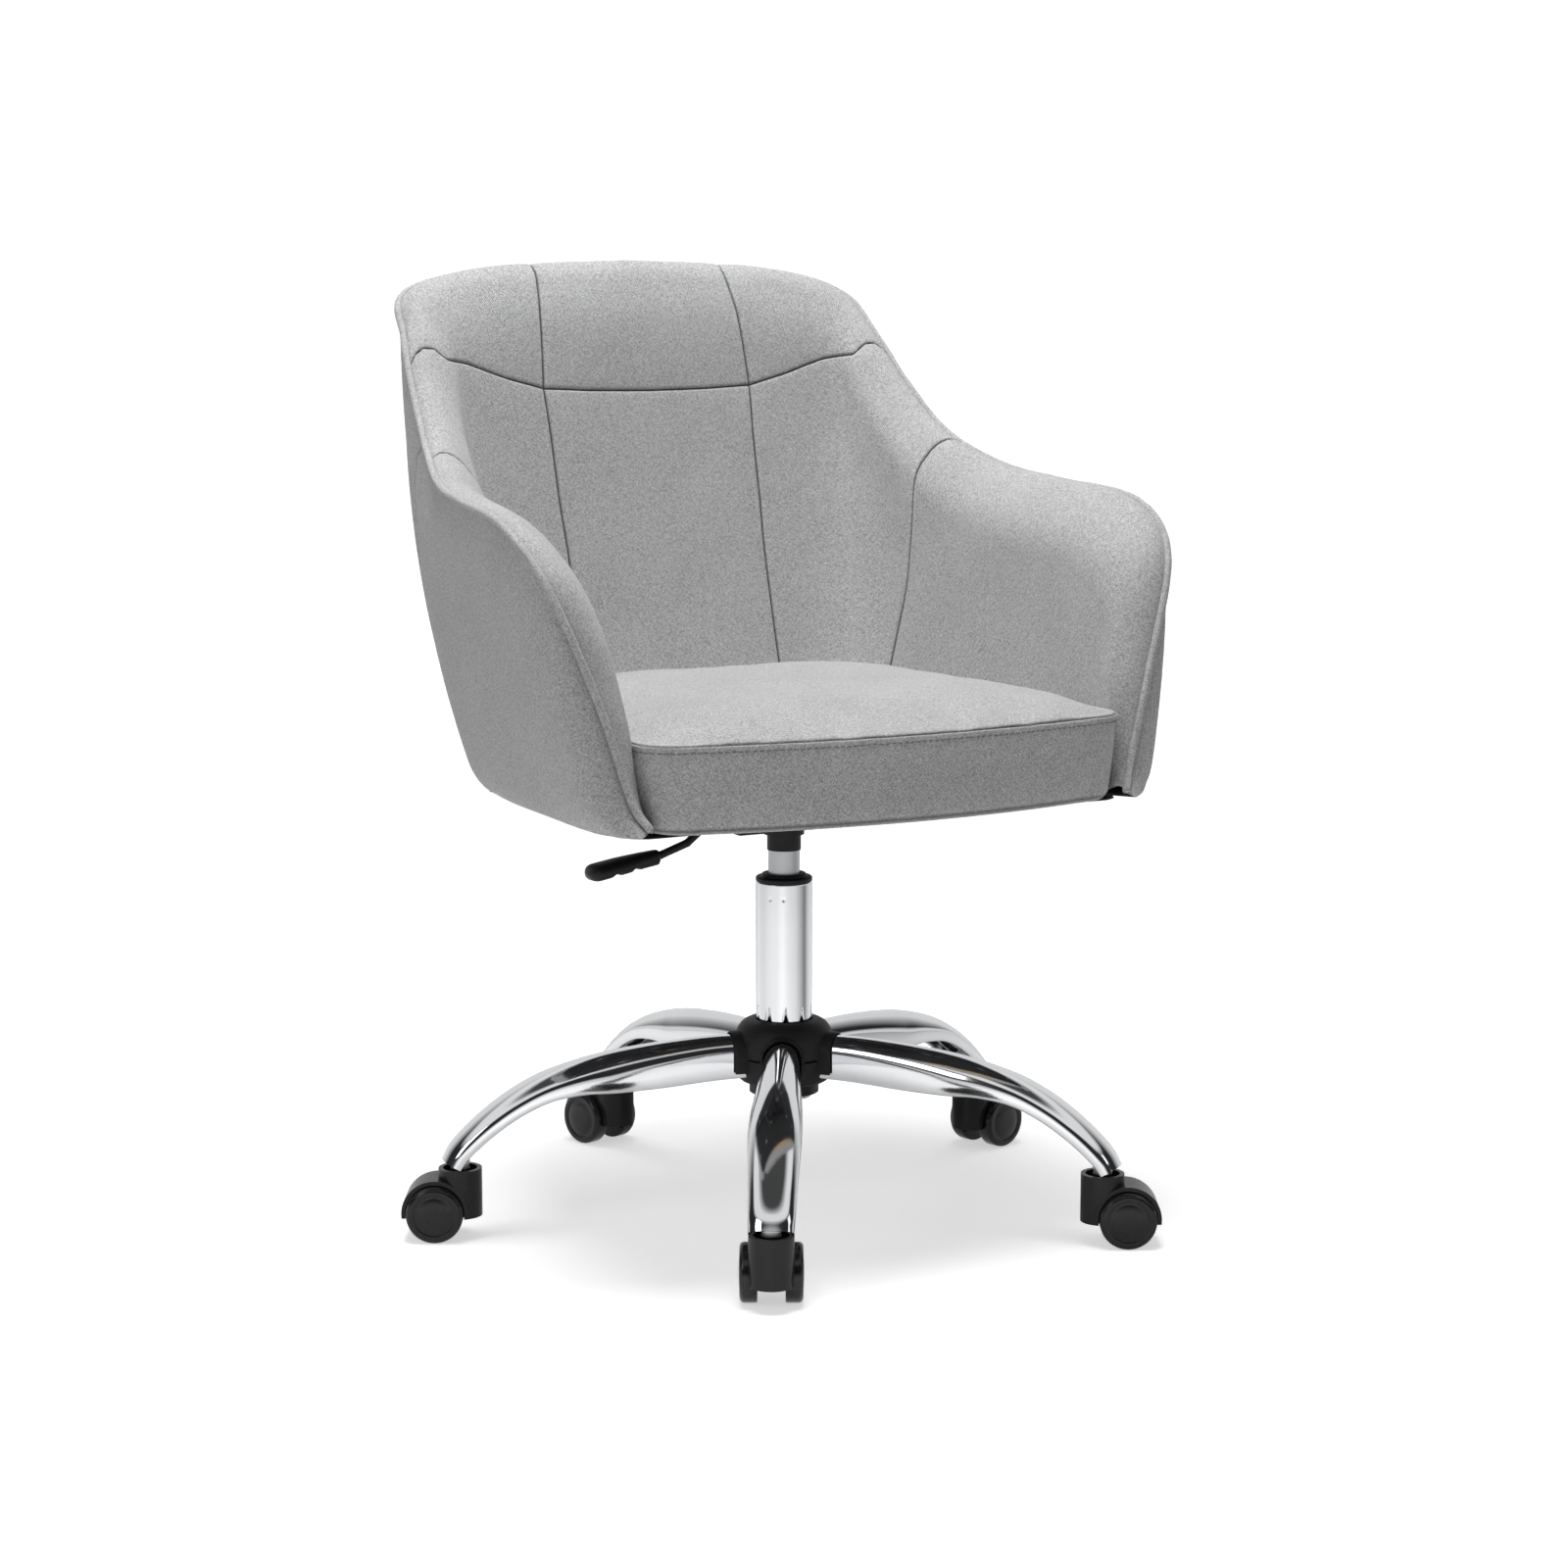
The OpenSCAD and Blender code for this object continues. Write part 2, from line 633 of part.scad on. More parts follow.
// height and size of each ring of the cushion's outline, from the bottom up
CUSHION_RINGS = [[cushion_foot, 0.985], [cushion_foot + 8, 1], [cushion_side - 20, 1], [cushion_side, 0.99],
                 [cushion_side + cushion_crown_h * 0.35, 0.96],
                 [cushion_side + cushion_crown_h * 0.75, 0.82],
                 [cushion_side + cushion_crown_h * 0.95, 0.5]];

// Padded cushion, fitted to the inside of the tub and wrapped round the board's edge
module seat_cushion() {
    rings = [for (r = CUSHION_RINGS)
        [for (p = seat_outline(min(r[0], cushion_side), soft_gap, cushion_front_y, 24, 24))
            [each cushion_mid + (p - cushion_mid) * r[1], r[0]]]];
    m = len(rings[0]);
    k = len(rings);
    top = k * m;
    color([0.55, 0.55, 0.56])
        difference() {
            polyhedron(
                points = concat([for (r = rings) each r],
                                [[each cushion_mid, cushion_side + cushion_crown_h],
                                 [each cushion_mid, cushion_foot]]),
                faces = concat(
                    [for (j = [0 : k - 2], i = [0 : m - 1])
                        let (a = j * m + i, b = j * m + (i + 1) % m)
                        each [[a, b + m, a + m], [a, b, b + m]]],
                    [for (i = [0 : m - 1]) [top, (k - 1) * m + i, (k - 1) * m + (i + 1) % m]],
                    [for (i = [0 : m - 1]) [top + 1, (i + 1) % m, i]]),
                convexity = 6);
            translate([0, 0, underside_z - 5])
                linear_extrude(board_t + 5.3)
                    polygon(board_outline(board_inset - 0.3));
        }
}

// Moulded shell that stiffens the back and the arms
module tub_shell() {
    color("tan")
        slab([for (u = U) [for (v = [0 : 7]) layer(u, rim_drop + 0.02 + (0.98 - rim_drop) * v / 7,
                                                     cover_share + layer_gap)]],
             [for (u = U) [for (v = [0 : 7]) layer(u, rim_drop + 0.02 + (0.98 - rim_drop) * v / 7,
                                                     shell_share)]]);
}

// Foam and fabric of the inner back and arms, rolled over the rim to the piping
module tub_pad() {
    n = 4;
    m = 7;
    color([0.6, 0.6, 0.61])
        slab([for (u = U) concat(
                 [for (w = [0 : n]) layer(u, rim_drop, (shell_share + layer_gap) * w / n)],
                 [for (v = [1 : m]) layer(u, rim_drop + (1 - rim_drop) * v / m, shell_share + layer_gap)])],
             [for (u = U) concat(
                 [for (w = [0 : n]) crown(u, w / n)],
                 [for (v = [1 : m]) inner_face(u, v / m)])]);
}

// Fabric panels over the outside of the shell
module outer_cover() {
    color([0.58, 0.58, 0.59])
        slab([for (u = U) [for (v = [0 : 7]) outer_face(u, rim_drop + 0.01 + (0.99 - rim_drop) * v / 7)]],
             [for (u = U) [for (v = [0 : 7]) layer(u, rim_drop + 0.01 + (0.99 - rim_drop) * v / 7,
                                                     cover_share)]]);
}

// Piping round the rim, in the seam between the inner and outer covers
module welt() {
    color([0.5, 0.5, 0.51])
        for (i = [0 : len(U) - 2]) {
            p = welt_point(U[i]);
            q = welt_point(U[i + 1]);
            v = q - p;
            translate(p)
                rotate([0, acos(v[2] / norm(v)), atan2(v[1], v[0])])
                    cylinder(r = welt_r, h = norm(v), $fn = 8);
        }
}
// the way out of the outer cover at its top edge
function rim_out(u) =
    let (along = on_tub(RIM, u + 0.02) - on_tub(RIM, u - 0.02),
         down = outer_face(u, 0.04) - outer_face(u, 0), v = cross(along, down))
    v / norm(v);
function welt_point(u) = on_tub(RIM, u) + rim_out(u) * (welt_r + 0.6);

dust_inset = 28;

// Black woven cover under the seat, cut out round the mechanism
module dust_cover() {
    z = underside_z - plate_t - 1.2;
    color([0.05, 0.05, 0.05])
        difference() {
            translate([0, 0, z])
                linear_extrude(1)
                    polygon([for (u = U)
                        let (p = on_tub(FOOT, u) - way_out(u) * dust_inset) [p[0], p[1]]]);
            translate([-plate_size[0] / 2 - 2, -plate_size[1] / 2 - 2, z - 1])
                cube([plate_size[0] + 4, plate_size[1] + 4, 3]);
            for (y = strap_y, x = strap_x, s = [-1, 1])
                translate([s * x * tub_width, y, z - 1]) cylinder(d = 11, h = 3);
        }
}

// ================= casters =================

hood_r = wheel_r + 4.3;
hood_room = wheel_r + 0.8;
hood_w = wheel_gap + 15;
web_w = wheel_gap - 2 * move_gap;

// Hood of a caster: web between the wheels, fender over them and the stem's housing
module caster_hood() {
    housing_r = 19;
    color([0.05, 0.05, 0.05])
        difference() {
            union() {
                translate([caster_trail, 0, wheel_r]) rotate([90, 0, 0]) {
                    cylinder(r = 14, h = web_w, center = true);
                    difference() {
                        cylinder(r = hood_r, h = hood_w, center = true);
                        translate([-hood_r - 1, -hood_r - 4, -hood_w])
                            cube([2 * hood_r + 2, hood_r, 2 * hood_w]);
                    }
                }
                intersection() {
                    translate([0, 0, 20]) cylinder(r = housing_r, h = hood_top - 20);
                    translate([-50, -hood_w / 2, 0]) cube([100, hood_w, 100]);
                }
            }
            for (s = [-1, 1])
                translate([caster_trail, s * (web_w / 2 + 30), wheel_r])
                    rotate([90, 0, 0]) cylinder(r = hood_room, h = 60, center = true);
            translate([0, 0, hood_top - 5]) ring(housing_r - 4, stem_d / 2 + 3, 0, 6);
            translate([0, 0, hood_top - 24]) cylinder(d = stem_d, h = 30);
            translate([caster_trail, 0, wheel_r])
                rotate([90, 0, 0]) cylinder(d = axle_d + 2 * run_gap, h = 100, center = true);
        }
}

// Steel stem that plugs into the leg and lets the caster swivel, with the axle it carries
module caster_stem() {
    color("silver") {
        translate([0, 0, hood_top - 24]) cylinder(d = stem_d, h = 24);
        translate([0, 0, hood_top - 1]) cylinder(d = stem_d, h = leg_low_z - hood_top + socket_h + 2);
        translate([0, 0, hood_top]) cylinder(d = stem_d + 5, h = leg_low_z - hood_top - move_gap);
        translate([caster_trail, 0, wheel_r])
            rotate([90, 0, 0]) cylinder(d = axle_d, h = wheel_gap + 2 * wheel_w - 8, center = true);
    }
}

// Wheel with a bevelled rim, a shallow dished face and a blind bore for the axle
module wheel(side) {
    bore_r = axle_d / 2 + run_gap;
    color([0.04, 0.04, 0.04])
        translate([caster_trail, side * wheel_gap / 2, wheel_r])
            rotate([side * -90, 0, 0])
                rotate_extrude()
                    polygon([[bore_r, 0], [wheel_r - 1.5, 0], [wheel_r, 1.5], [wheel_r, wheel_w - 3.5],
                             [wheel_r - 2.5, wheel_w - 1], [wheel_r - 5, wheel_w - 1],
                             [wheel_r - 6, wheel_w - 1.6], [wheel_r - 12, wheel_w - 0.6], [0, wheel_w],
                             [0, wheel_w - 3], [bore_r, wheel_w - 3]]);
}

module caster_hood_n(i) {
    at_caster(i) caster_hood();
}
module caster_stem_n(i) {
    at_caster(i) caster_stem();
}
module wheel_n(i, side) {
    at_caster(i) wheel(side);
}

hub_socket();
leg_n(1);  // leg_1
leg_n(2);  // leg_2
leg_n(3);  // leg_3
leg_n(4);  // leg_4
leg_n(5);  // leg_5
caster_sockets();
hub_cover_upper();
hub_cover_lower();
column_tube();
column_floor();
guide_bush();
cap_ring();
lower_race();
bearing_balls();
piston_rod();
upper_race();
retaining_clip();
rubber_bumper();
gas_cylinder();
valve_pin();
taper_collar();
seat_socket();
seat_plate();
pivot_pin();
lever_rod();
lever_paddle();
plate_bolts();
tee_nuts();
cross_straps();
strap_screws();
seat_board();
seat_cushion();
tub_shell();
tub_pad();
outer_cover();
welt();
dust_cover();
for (i = CASTERS) {
    caster_hood_n(i);
    caster_stem_n(i);
    wheel_n(i, -1);
    wheel_n(i, 1);
}
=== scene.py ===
import math

import bmesh
import bpy
import numpy as np
from mathutils import Matrix, Vector
from mathutils.bvhtree import BVHTree
from mathutils.kdtree import KDTree


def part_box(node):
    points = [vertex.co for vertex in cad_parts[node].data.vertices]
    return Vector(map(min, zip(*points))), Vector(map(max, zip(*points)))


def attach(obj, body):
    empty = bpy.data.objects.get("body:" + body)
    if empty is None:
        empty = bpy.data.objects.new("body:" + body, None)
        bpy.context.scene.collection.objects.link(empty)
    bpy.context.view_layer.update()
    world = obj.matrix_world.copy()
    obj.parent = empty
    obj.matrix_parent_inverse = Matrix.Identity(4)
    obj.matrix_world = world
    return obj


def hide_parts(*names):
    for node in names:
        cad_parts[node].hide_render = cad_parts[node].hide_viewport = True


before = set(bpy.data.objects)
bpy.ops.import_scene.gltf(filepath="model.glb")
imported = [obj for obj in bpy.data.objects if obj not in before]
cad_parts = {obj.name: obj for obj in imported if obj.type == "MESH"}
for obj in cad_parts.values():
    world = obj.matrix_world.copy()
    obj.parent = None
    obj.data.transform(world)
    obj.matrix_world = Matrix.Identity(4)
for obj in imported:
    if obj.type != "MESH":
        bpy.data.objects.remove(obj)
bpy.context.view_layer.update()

# ---- studio ----
# The chair stands on a pale floor. The camera looks down a little from the side of the
# lift lever, and broad soft lights stand above and to both sides.
CAMERA_TURN = math.radians(-28)
CAMERA_TILT = math.radians(8.56)
CAMERA_AWAY = 3.0
CAMERA_HEIGHT = 0.841

lens = bpy.data.cameras.new("studio_camera")
lens.sensor_width = 36
lens.lens = 78.7
camera = bpy.data.objects.new("studio_camera", lens)
camera.location = (CAMERA_AWAY * math.sin(CAMERA_TURN), -CAMERA_AWAY * math.cos(CAMERA_TURN), CAMERA_HEIGHT)
camera.rotation_euler = (math.pi / 2 - CAMERA_TILT, 0, CAMERA_TURN)
bpy.context.scene.collection.objects.link(camera)
bpy.context.scene.camera = camera


def new_material(name):
    """A material with an empty node tree but for its output and a Principled shader."""
    mat = bpy.data.materials.new(name)
    mat.use_nodes = True
    shader = mat.node_tree.nodes["Principled BSDF"]
    return mat, mat.node_tree.nodes, mat.node_tree.links, shader


def ramp_node(tree, value, stops):
    """Colour ramp through (position, grey) or (position, red, green, blue) stops."""
    ramp = tree.nodes.new("ShaderNodeValToRGB")
    tree.links.new(value, ramp.inputs["Fac"])
    ramp.color_ramp.elements[0].position = stops[0][0]
    ramp.color_ramp.elements[1].position = stops[-1][0]
    for stop in stops[1:-1]:
        ramp.color_ramp.elements.new(stop[0])
    for element, (_, *tone) in zip(ramp.color_ramp.elements, stops):
        element.color = (*(tone * 3)[:3], 1)
    return ramp.outputs["Color"]


# The chrome mirrors the floor as a fan of pale and dark cards, by bearing in degrees.
CARDS = [(-180, 0.56), (-150, 0.58), (-124, 0.72), (-100, 0.60), (-70, 0.52), (-46, 0.32), (-26, 0.12),
         (-8, 0.4), (24, 0.6), (48, 0.16), (62, 0.08), (78, 0.16), (100, 0.6), (150, 0.5), (180, 0.56)]
floor_mat, nodes, links, shader = new_material("studio_floor")
floor_place = nodes.new("ShaderNodeSeparateXYZ")
links.new(nodes.new("ShaderNodeTexCoord").outputs["Object"], floor_place.inputs["Vector"])
bearing = nodes.new("ShaderNodeMath")
bearing.operation = "ARCTAN2"
links.new(floor_place.outputs["Y"], bearing.inputs[0])
links.new(floor_place.outputs["X"], bearing.inputs[1])
sector = nodes.new("ShaderNodeMapRange")
sector.inputs["From Min"].default_value = -math.pi
sector.inputs["From Max"].default_value = math.pi
links.new(bearing.outputs["Value"], sector.inputs["Value"])
cards = ramp_node(floor_mat.node_tree, sector.outputs["Result"],
                  [((turn + 180) / 360, tone) for turn, tone in CARDS])
mirrored_floor = nodes.new("ShaderNodeMix")
mirrored_floor.data_type = "RGBA"
mirrored_floor.inputs["A"].default_value = (0.9, 0.9, 0.9, 1)
rays = nodes.new("ShaderNodeLightPath")
links.new(rays.outputs["Is Glossy Ray"], mirrored_floor.inputs["Factor"])
glow = nodes.new("ShaderNodeMapRange")
glow.inputs["To Min"].default_value = 0.60
glow.inputs["To Max"].default_value = 0.08
links.new(rays.outputs["Is Diffuse Ray"], glow.inputs["Value"])
links.new(glow.outputs["Result"], shader.inputs["Emission Strength"])
links.new(cards, mirrored_floor.inputs["B"])
links.new(mirrored_floor.outputs["Result"], shader.inputs["Base Color"])
links.new(mirrored_floor.outputs["Result"], shader.inputs["Emission Color"])
shader.inputs["Roughness"].default_value = 0.8
FLOOR_R = 2.6
rim = [(FLOOR_R * math.cos(a), FLOOR_R * math.sin(a), 0)
       for a in np.linspace(0, 2 * math.pi, 96, endpoint=False)]
floor_mesh = bpy.data.meshes.new("studio_floor")
floor_mesh.from_pydata(rim, [], [tuple(range(len(rim)))])
floor = bpy.data.objects.new("studio_floor", floor_mesh)
floor_mesh.materials.append(floor_mat)
bpy.context.scene.collection.objects.link(floor)


def soft_light(name, size, power, place, mirrored=True):
    """A square area light at a place, aimed at the middle of the chair."""
    data = bpy.data.lights.new(name, "AREA")
    data.shape = "SQUARE"
    data.size = size
    data.energy = power
    light = bpy.data.objects.new(name, data)
    light.location = place
    light.visible_glossy = mirrored
    light.rotation_euler = (Vector((0, 0, 0.45)) - Vector(place)).to_track_quat("-Z", "Y").to_euler()
    bpy.context.scene.collection.objects.link(light)


soft_light("top_softbox", 1.3, 88, (-0.15, 0.05, 2.9), mirrored=False)
soft_light("left_softbox", 1.1, 12, (-2.8, -0.9, 1.6))
soft_light("right_softbox", 0.9, 3, (1.9, -2.4, 1.7))

# The backdrop is white, and the room in front of it is dark but for a pale horizon and a
# high soft panel, which gives chrome its hard contrast.
world = bpy.data.worlds.new("studio")
world.use_nodes = True
room = world.node_tree
sky = room.nodes["Background"]
sky.inputs["Color"].default_value = (1, 1, 1, 1)
sky.inputs["Strength"].default_value = 0.19
mirrored = room.nodes.new("ShaderNodeBackground")
behind = room.nodes.new("ShaderNodeVectorMath")
behind.operation = "DOT_PRODUCT"
behind.inputs[1].default_value = (-math.sin(CAMERA_TURN), math.cos(CAMERA_TURN), 0)
room.links.new(room.nodes.new("ShaderNodeTexCoord").outputs["Generated"], behind.inputs[0])
cyclorama = ramp_node(room, behind.outputs["Value"], [(0.30, 0.022, 0.022, 0.024), (0.72, 0.74)])
rise = room.nodes.new("ShaderNodeSeparateXYZ")
room.links.new(room.nodes.new("ShaderNodeTexCoord").outputs["Generated"], rise.inputs["Vector"])
horizon = ramp_node(room, rise.outputs["Z"], [(0.06, 0.7), (0.20, 0), (0.60, 0), (0.69, 0.8), (0.83, 0.8),
                                              (0.92, 0.06)])
brighter = room.nodes.new("ShaderNodeMix")
brighter.data_type = "RGBA"
brighter.blend_type = "LIGHTEN"
brighter.inputs["Factor"].default_value = 1
room.links.new(cyclorama, brighter.inputs["A"])
room.links.new(horizon, brighter.inputs["B"])
room.links.new(brighter.outputs["Result"], mirrored.inputs["Color"])
white = room.nodes.new("ShaderNodeBackground")
white.inputs["Color"].default_value = (1, 1, 1, 1)
white.inputs["Strength"].default_value = 1.15
rays = room.nodes.new("ShaderNodeLightPath")
mirror_mix = room.nodes.new("ShaderNodeMixShader")
camera_mix = room.nodes.new("ShaderNodeMixShader")
room.links.new(rays.outputs["Is Glossy Ray"], mirror_mix.inputs["Fac"])
room.links.new(sky.outputs["Background"], mirror_mix.inputs[1])
room.links.new(mirrored.outputs["Background"], mirror_mix.inputs[2])
room.links.new(rays.outputs["Is Camera Ray"], camera_mix.inputs["Fac"])
room.links.new(mirror_mix.outputs["Shader"], camera_mix.inputs[1])
room.links.new(white.outputs["Background"], camera_mix.inputs[2])
room.links.new(camera_mix.outputs["Shader"], room.nodes["World Output"].inputs["Surface"])
bpy.context.scene.world = world
bpy.context.scene.view_settings.view_transform = "Standard"


# ---- chrome legs ----
# Five pressed steel channels, open underneath, arch from the hub down to the casters.
# Their lower edges are rolled into a thin bead, and all of it is chrome plated.
STEM_CIRCLE = 0.295
HUB_RING = 0.031
BASE_YAW = 30
LEG_OUT = [0, 0.15, 0.33, 0.5, 0.62, 0.73, 0.83, 0.92, 0.99, 1.035, 1.06]
LEG_TOP = [166, 166, 163, 157.5, 150.5, 141, 127.5, 111, 95, 82, 70.5]
LEG_DEEP = [37, 38, 38, 34, 27, 22, 19.5, 18, 17, 16, 15]
LEG_WIDE = [30, 32, 37, 42, 44, 45, 44, 42, 40, 39, 38]
LEG_WALL = 0.0018
LEG_BEAD = 0.0016


def spline(points, u):
    """Points on a smooth curve through the given ones, for every u from 0 to 1."""
    k = np.asarray(points, float)
    k = k.reshape(len(k), -1)
    s = np.clip(np.atleast_1d(u), 0, 1) * (len(k) - 1)
    i = np.minimum(np.floor(s).astype(int), len(k) - 2)
    t = (s - i)[:, None]
    b, c = k[i], k[i + 1]
    a = np.where((i > 0)[:, None], k[i - 1], 2 * b - c)
    d = np.where((i + 2 < len(k))[:, None], k[np.minimum(i + 2, len(k) - 1)], 2 * c - b)
    return (2 * b + (c - a) * t + (2 * a - 5 * b + 4 * c - d) * t**2 + (3 * b - a - 3 * c + d) * t**3) / 2


def new_piece(name, verts, faces, mat, body):
    """A mesh object that rides on a body of the chair."""
    mesh = bpy.data.meshes.new(name)
    mesh.from_pydata([tuple(map(float, v)) for v in verts], [], [tuple(map(int, f)) for f in faces])
    mesh.materials.append(mat)
    mesh.update()
    piece = bpy.data.objects.new(name, mesh)
    bpy.context.scene.collection.objects.link(piece)
    tidy = bmesh.new()
    tidy.from_mesh(mesh)
    bmesh.ops.remove_doubles(tidy, verts=tidy.verts, dist=1e-6)
    bmesh.ops.recalc_face_normals(tidy, faces=tidy.faces)
    tidy.to_mesh(mesh)
    tidy.free()
    mesh.polygons.foreach_set("use_smooth", [True] * len(mesh.polygons))
    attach(piece, body)
    return piece


def grid_faces(rows, cols, wrap_rows=False, wrap_cols=False, start=0):
    """Quads between neighbouring points of a grid, optionally closed either way."""
    faces = []
    for r in range(rows if wrap_rows else rows - 1):
        for c in range(cols if wrap_cols else cols - 1):
            r2, c2 = (r + 1) % rows, (c + 1) % cols
            corners = (r * cols + c, r * cols + c2, r2 * cols + c2, r2 * cols + c)
            faces.append(tuple(start + k for k in corners))
    return faces


def node_group(name, inputs, outputs):
    """An empty shader node group with named sockets."""
    group = bpy.data.node_groups.new(name, "ShaderNodeTree")
    for label, kind, value in inputs:
        socket = group.interface.new_socket(label, in_out="INPUT", socket_type=kind)
        if value is not None:
            socket.default_value = value
    for label, kind in outputs:
        group.interface.new_socket(label, in_out="OUTPUT", socket_type=kind)
    return group, group.nodes.new("NodeGroupInput"), group.nodes.new("NodeGroupOutput")


def noise_node(tree, coords, scale, detail, roughness=0.5):
    """Noise over the given coordinates."""
    noise = tree.nodes.new("ShaderNodeTexNoise")
    noise.inputs["Scale"].default_value = scale
    noise.inputs["Detail"].default_value = detail
    noise.inputs["Roughness"].default_value = roughness
    tree.links.new(coords, noise.inputs["Vector"])
    return noise


def tone_node(tree, factor, dark, light):
    """Base colour that runs from dark to light with a factor."""
    tone = tree.nodes.new("ShaderNodeMix")
    tone.data_type = "RGBA"
    tone.inputs["A"].default_value = (*dark, 1)
    tone.inputs["B"].default_value = (*light, 1)
    tree.links.new(factor, tone.inputs["Factor"])
    return tone


def bump_node(tree, height, strength, distance):
    """Normal raised by a height."""
    relief = tree.nodes.new("ShaderNodeBump")
    relief.inputs["Strength"].default_value = strength
    relief.inputs["Distance"].default_value = distance
    tree.links.new(height, relief.inputs["Height"])
    return relief


def math_node(tree, operation, a, b=None, clamp=False):
    """One step of arithmetic on numbers or sockets."""
    node = tree.nodes.new("ShaderNodeMath")
    node.operation = operation
    node.use_clamp = clamp
    for socket, value in zip(node.inputs, (a, b)):
        if isinstance(value, (int, float)):
            socket.default_value = value
        elif value is not None:
            tree.links.new(value, socket)
    return node.outputs[0]


def surface_grain_group():
    """Fine moulded or plated texture: a height for the bump and a patchy handling mask."""
    group, come, go = node_group(
        "surface_grain",
        [("Grain Scale", "NodeSocketFloat", 900.0), ("Patch Scale", "NodeSocketFloat", 14.0)],
        [("Height", "NodeSocketFloat"), ("Patches", "NodeSocketFloat")])
    place = group.nodes.new("ShaderNodeTexCoord").outputs["Object"]
    fine = noise_node(group, place, 900, 3)
    group.links.new(come.outputs["Grain Scale"], fine.inputs["Scale"])
    broad = noise_node(group, place, 14, 4, 0.6)
    group.links.new(come.outputs["Patch Scale"], broad.inputs["Scale"])
    group.links.new(fine.outputs["Fac"], go.inputs["Height"])
    spread = math_node(group, "MULTIPLY_ADD", broad.outputs["Fac"], 2.2)
    spread.node.inputs[2].default_value = -0.6
    spread.node.use_clamp = True
    group.links.new(spread, go.inputs["Patches"])
    return group


surface_grain = surface_grain_group()


def hard_finish(name, dark, light, rough_low, rough_high, metallic=0.0, bump=0.05, grain=900.0, patch=14.0,
                coat=0.0):
    """Metal or plastic whose tone and gloss wander a little where it has been handled."""
    mat, nodes, links, shader = new_material(name)
    grain_node = nodes.new("ShaderNodeGroup")
    grain_node.node_tree = surface_grain
    grain_node.inputs["Grain Scale"].default_value = grain
    grain_node.inputs["Patch Scale"].default_value = patch
    tone = tone_node(mat.node_tree, grain_node.outputs["Patches"], dark, light)
    links.new(tone.outputs["Result"], shader.inputs["Base Color"])
    gloss = nodes.new("ShaderNodeMapRange")
    gloss.inputs["To Min"].default_value = rough_low
    gloss.inputs["To Max"].default_value = rough_high
    links.new(grain_node.outputs["Patches"], gloss.inputs["Value"])
    links.new(gloss.outputs["Result"], shader.inputs["Roughness"])
    relief = bump_node(mat.node_tree, grain_node.outputs["Height"], bump, 0.0004)
    links.new(relief.outputs["Normal"], shader.inputs["Normal"])
    shader.inputs["Metallic"].default_value = metallic
    shader.inputs["Specular IOR Level"].default_value = 0.5 if metallic else 0.2
    shader.inputs["Coat Weight"].default_value = coat
    shader.inputs["Coat Roughness"].default_value = 0.08
    return mat


chrome = hard_finish("chrome_plate", (0.78, 0.79, 0.81), (0.86, 0.87, 0.88), 0.07, 0.11, metallic=1.0,
                     bump=0.015, grain=500, patch=9)


def leg_rings(rings):
    """Closed outlines of the channel's wall, from the hub to the caster."""
    u = np.linspace(0, 1, rings)
    out = HUB_RING + spline(LEG_OUT, u)[:, 0] * (STEM_CIRCLE - HUB_RING)
    top = spline(LEG_TOP, u)[:, 0] / 1000
    deep = spline(LEG_DEEP, u)[:, 0] / 1000
    wide = spline(LEG_WIDE, u)[:, 0] / 1000
    run = np.gradient(np.stack([out, top], 1), axis=0)
    run /= np.linalg.norm(run, axis=1)[:, None]
    down = np.stack([run[:, 1], -run[:, 0]], 1)
    verts = []
    for i in range(rings):
        half = wide[i] / 2
        arch = min(half, deep[i] * 0.62)
        outside = [(half * math.sin(q), arch * (1 - math.cos(q)))
                   for q in np.linspace(-math.pi / 2, math.pi / 2, 21)]
        bead = [(math.cos(q), math.sin(q)) for q in np.linspace(0, math.pi, 6)]
        right = [(half - LEG_BEAD + LEG_BEAD * c, deep[i] - LEG_BEAD + LEG_BEAD * s) for c, s in bead]
        left = [(-x, d) for x, d in reversed(right)]
        inner_half = half - LEG_WALL
        inside = [(inner_half * math.sin(q), LEG_WALL + (arch - LEG_WALL) * (1 - math.cos(q)))
                  for q in np.linspace(math.pi / 2, -math.pi / 2, 15)]
        for side, drop in left[1:] + outside + right[:-1] + inside:
            verts.append((out[i] + down[i, 0] * drop, side, top[i] + down[i, 1] * drop))
    return np.array(verts), rings, len(verts) // rings


leg_verts, leg_ring_count, leg_ring_size = leg_rings(56)
leg_faces = grid_faces(leg_ring_count, leg_ring_size, wrap_cols=True)
for i in range(1, 6):
    turn = math.radians(-90 - BASE_YAW - 72 * (i - 1))
    spin = np.array(Matrix.Rotation(turn, 3, "Z"))
    leg = new_piece(f"chrome_leg_{i}", leg_verts @ spin.T, leg_faces, chrome, "base")
    ends = bmesh.new()
    ends.from_mesh(leg.data)
    bmesh.ops.holes_fill(ends, edges=[e for e in ends.edges if e.is_boundary])
    bmesh.ops.triangulate(ends, faces=[f for f in ends.faces if len(f.verts) > 4])
    ends.to_mesh(leg.data)
    ends.free()
    leg.data.set_sharp_from_angle(angle=math.radians(50))
    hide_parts(f"leg_{i}")


# ---- hub cover ----
# A domed black nylon cover in two halves hides the welded leg roots. It parts just above
# the lower edge of the legs and has a short collar round every leg.
black_nylon = hard_finish("black_nylon", (0.016, 0.016, 0.017), (0.027, 0.027, 0.028), 0.42, 0.58,
                          bump=0.22, grain=1600)


def lathe(profile, steps=96, close=False):
    """Turned shape about the Z axis from (radius, height) points."""
    angles = np.linspace(0, 2 * math.pi, steps, endpoint=False)
    verts = [(r * math.cos(a), r * math.sin(a), z) for r, z in profile for a in angles]
    return verts, grid_faces(len(profile), steps, wrap_rows=close, wrap_cols=True)


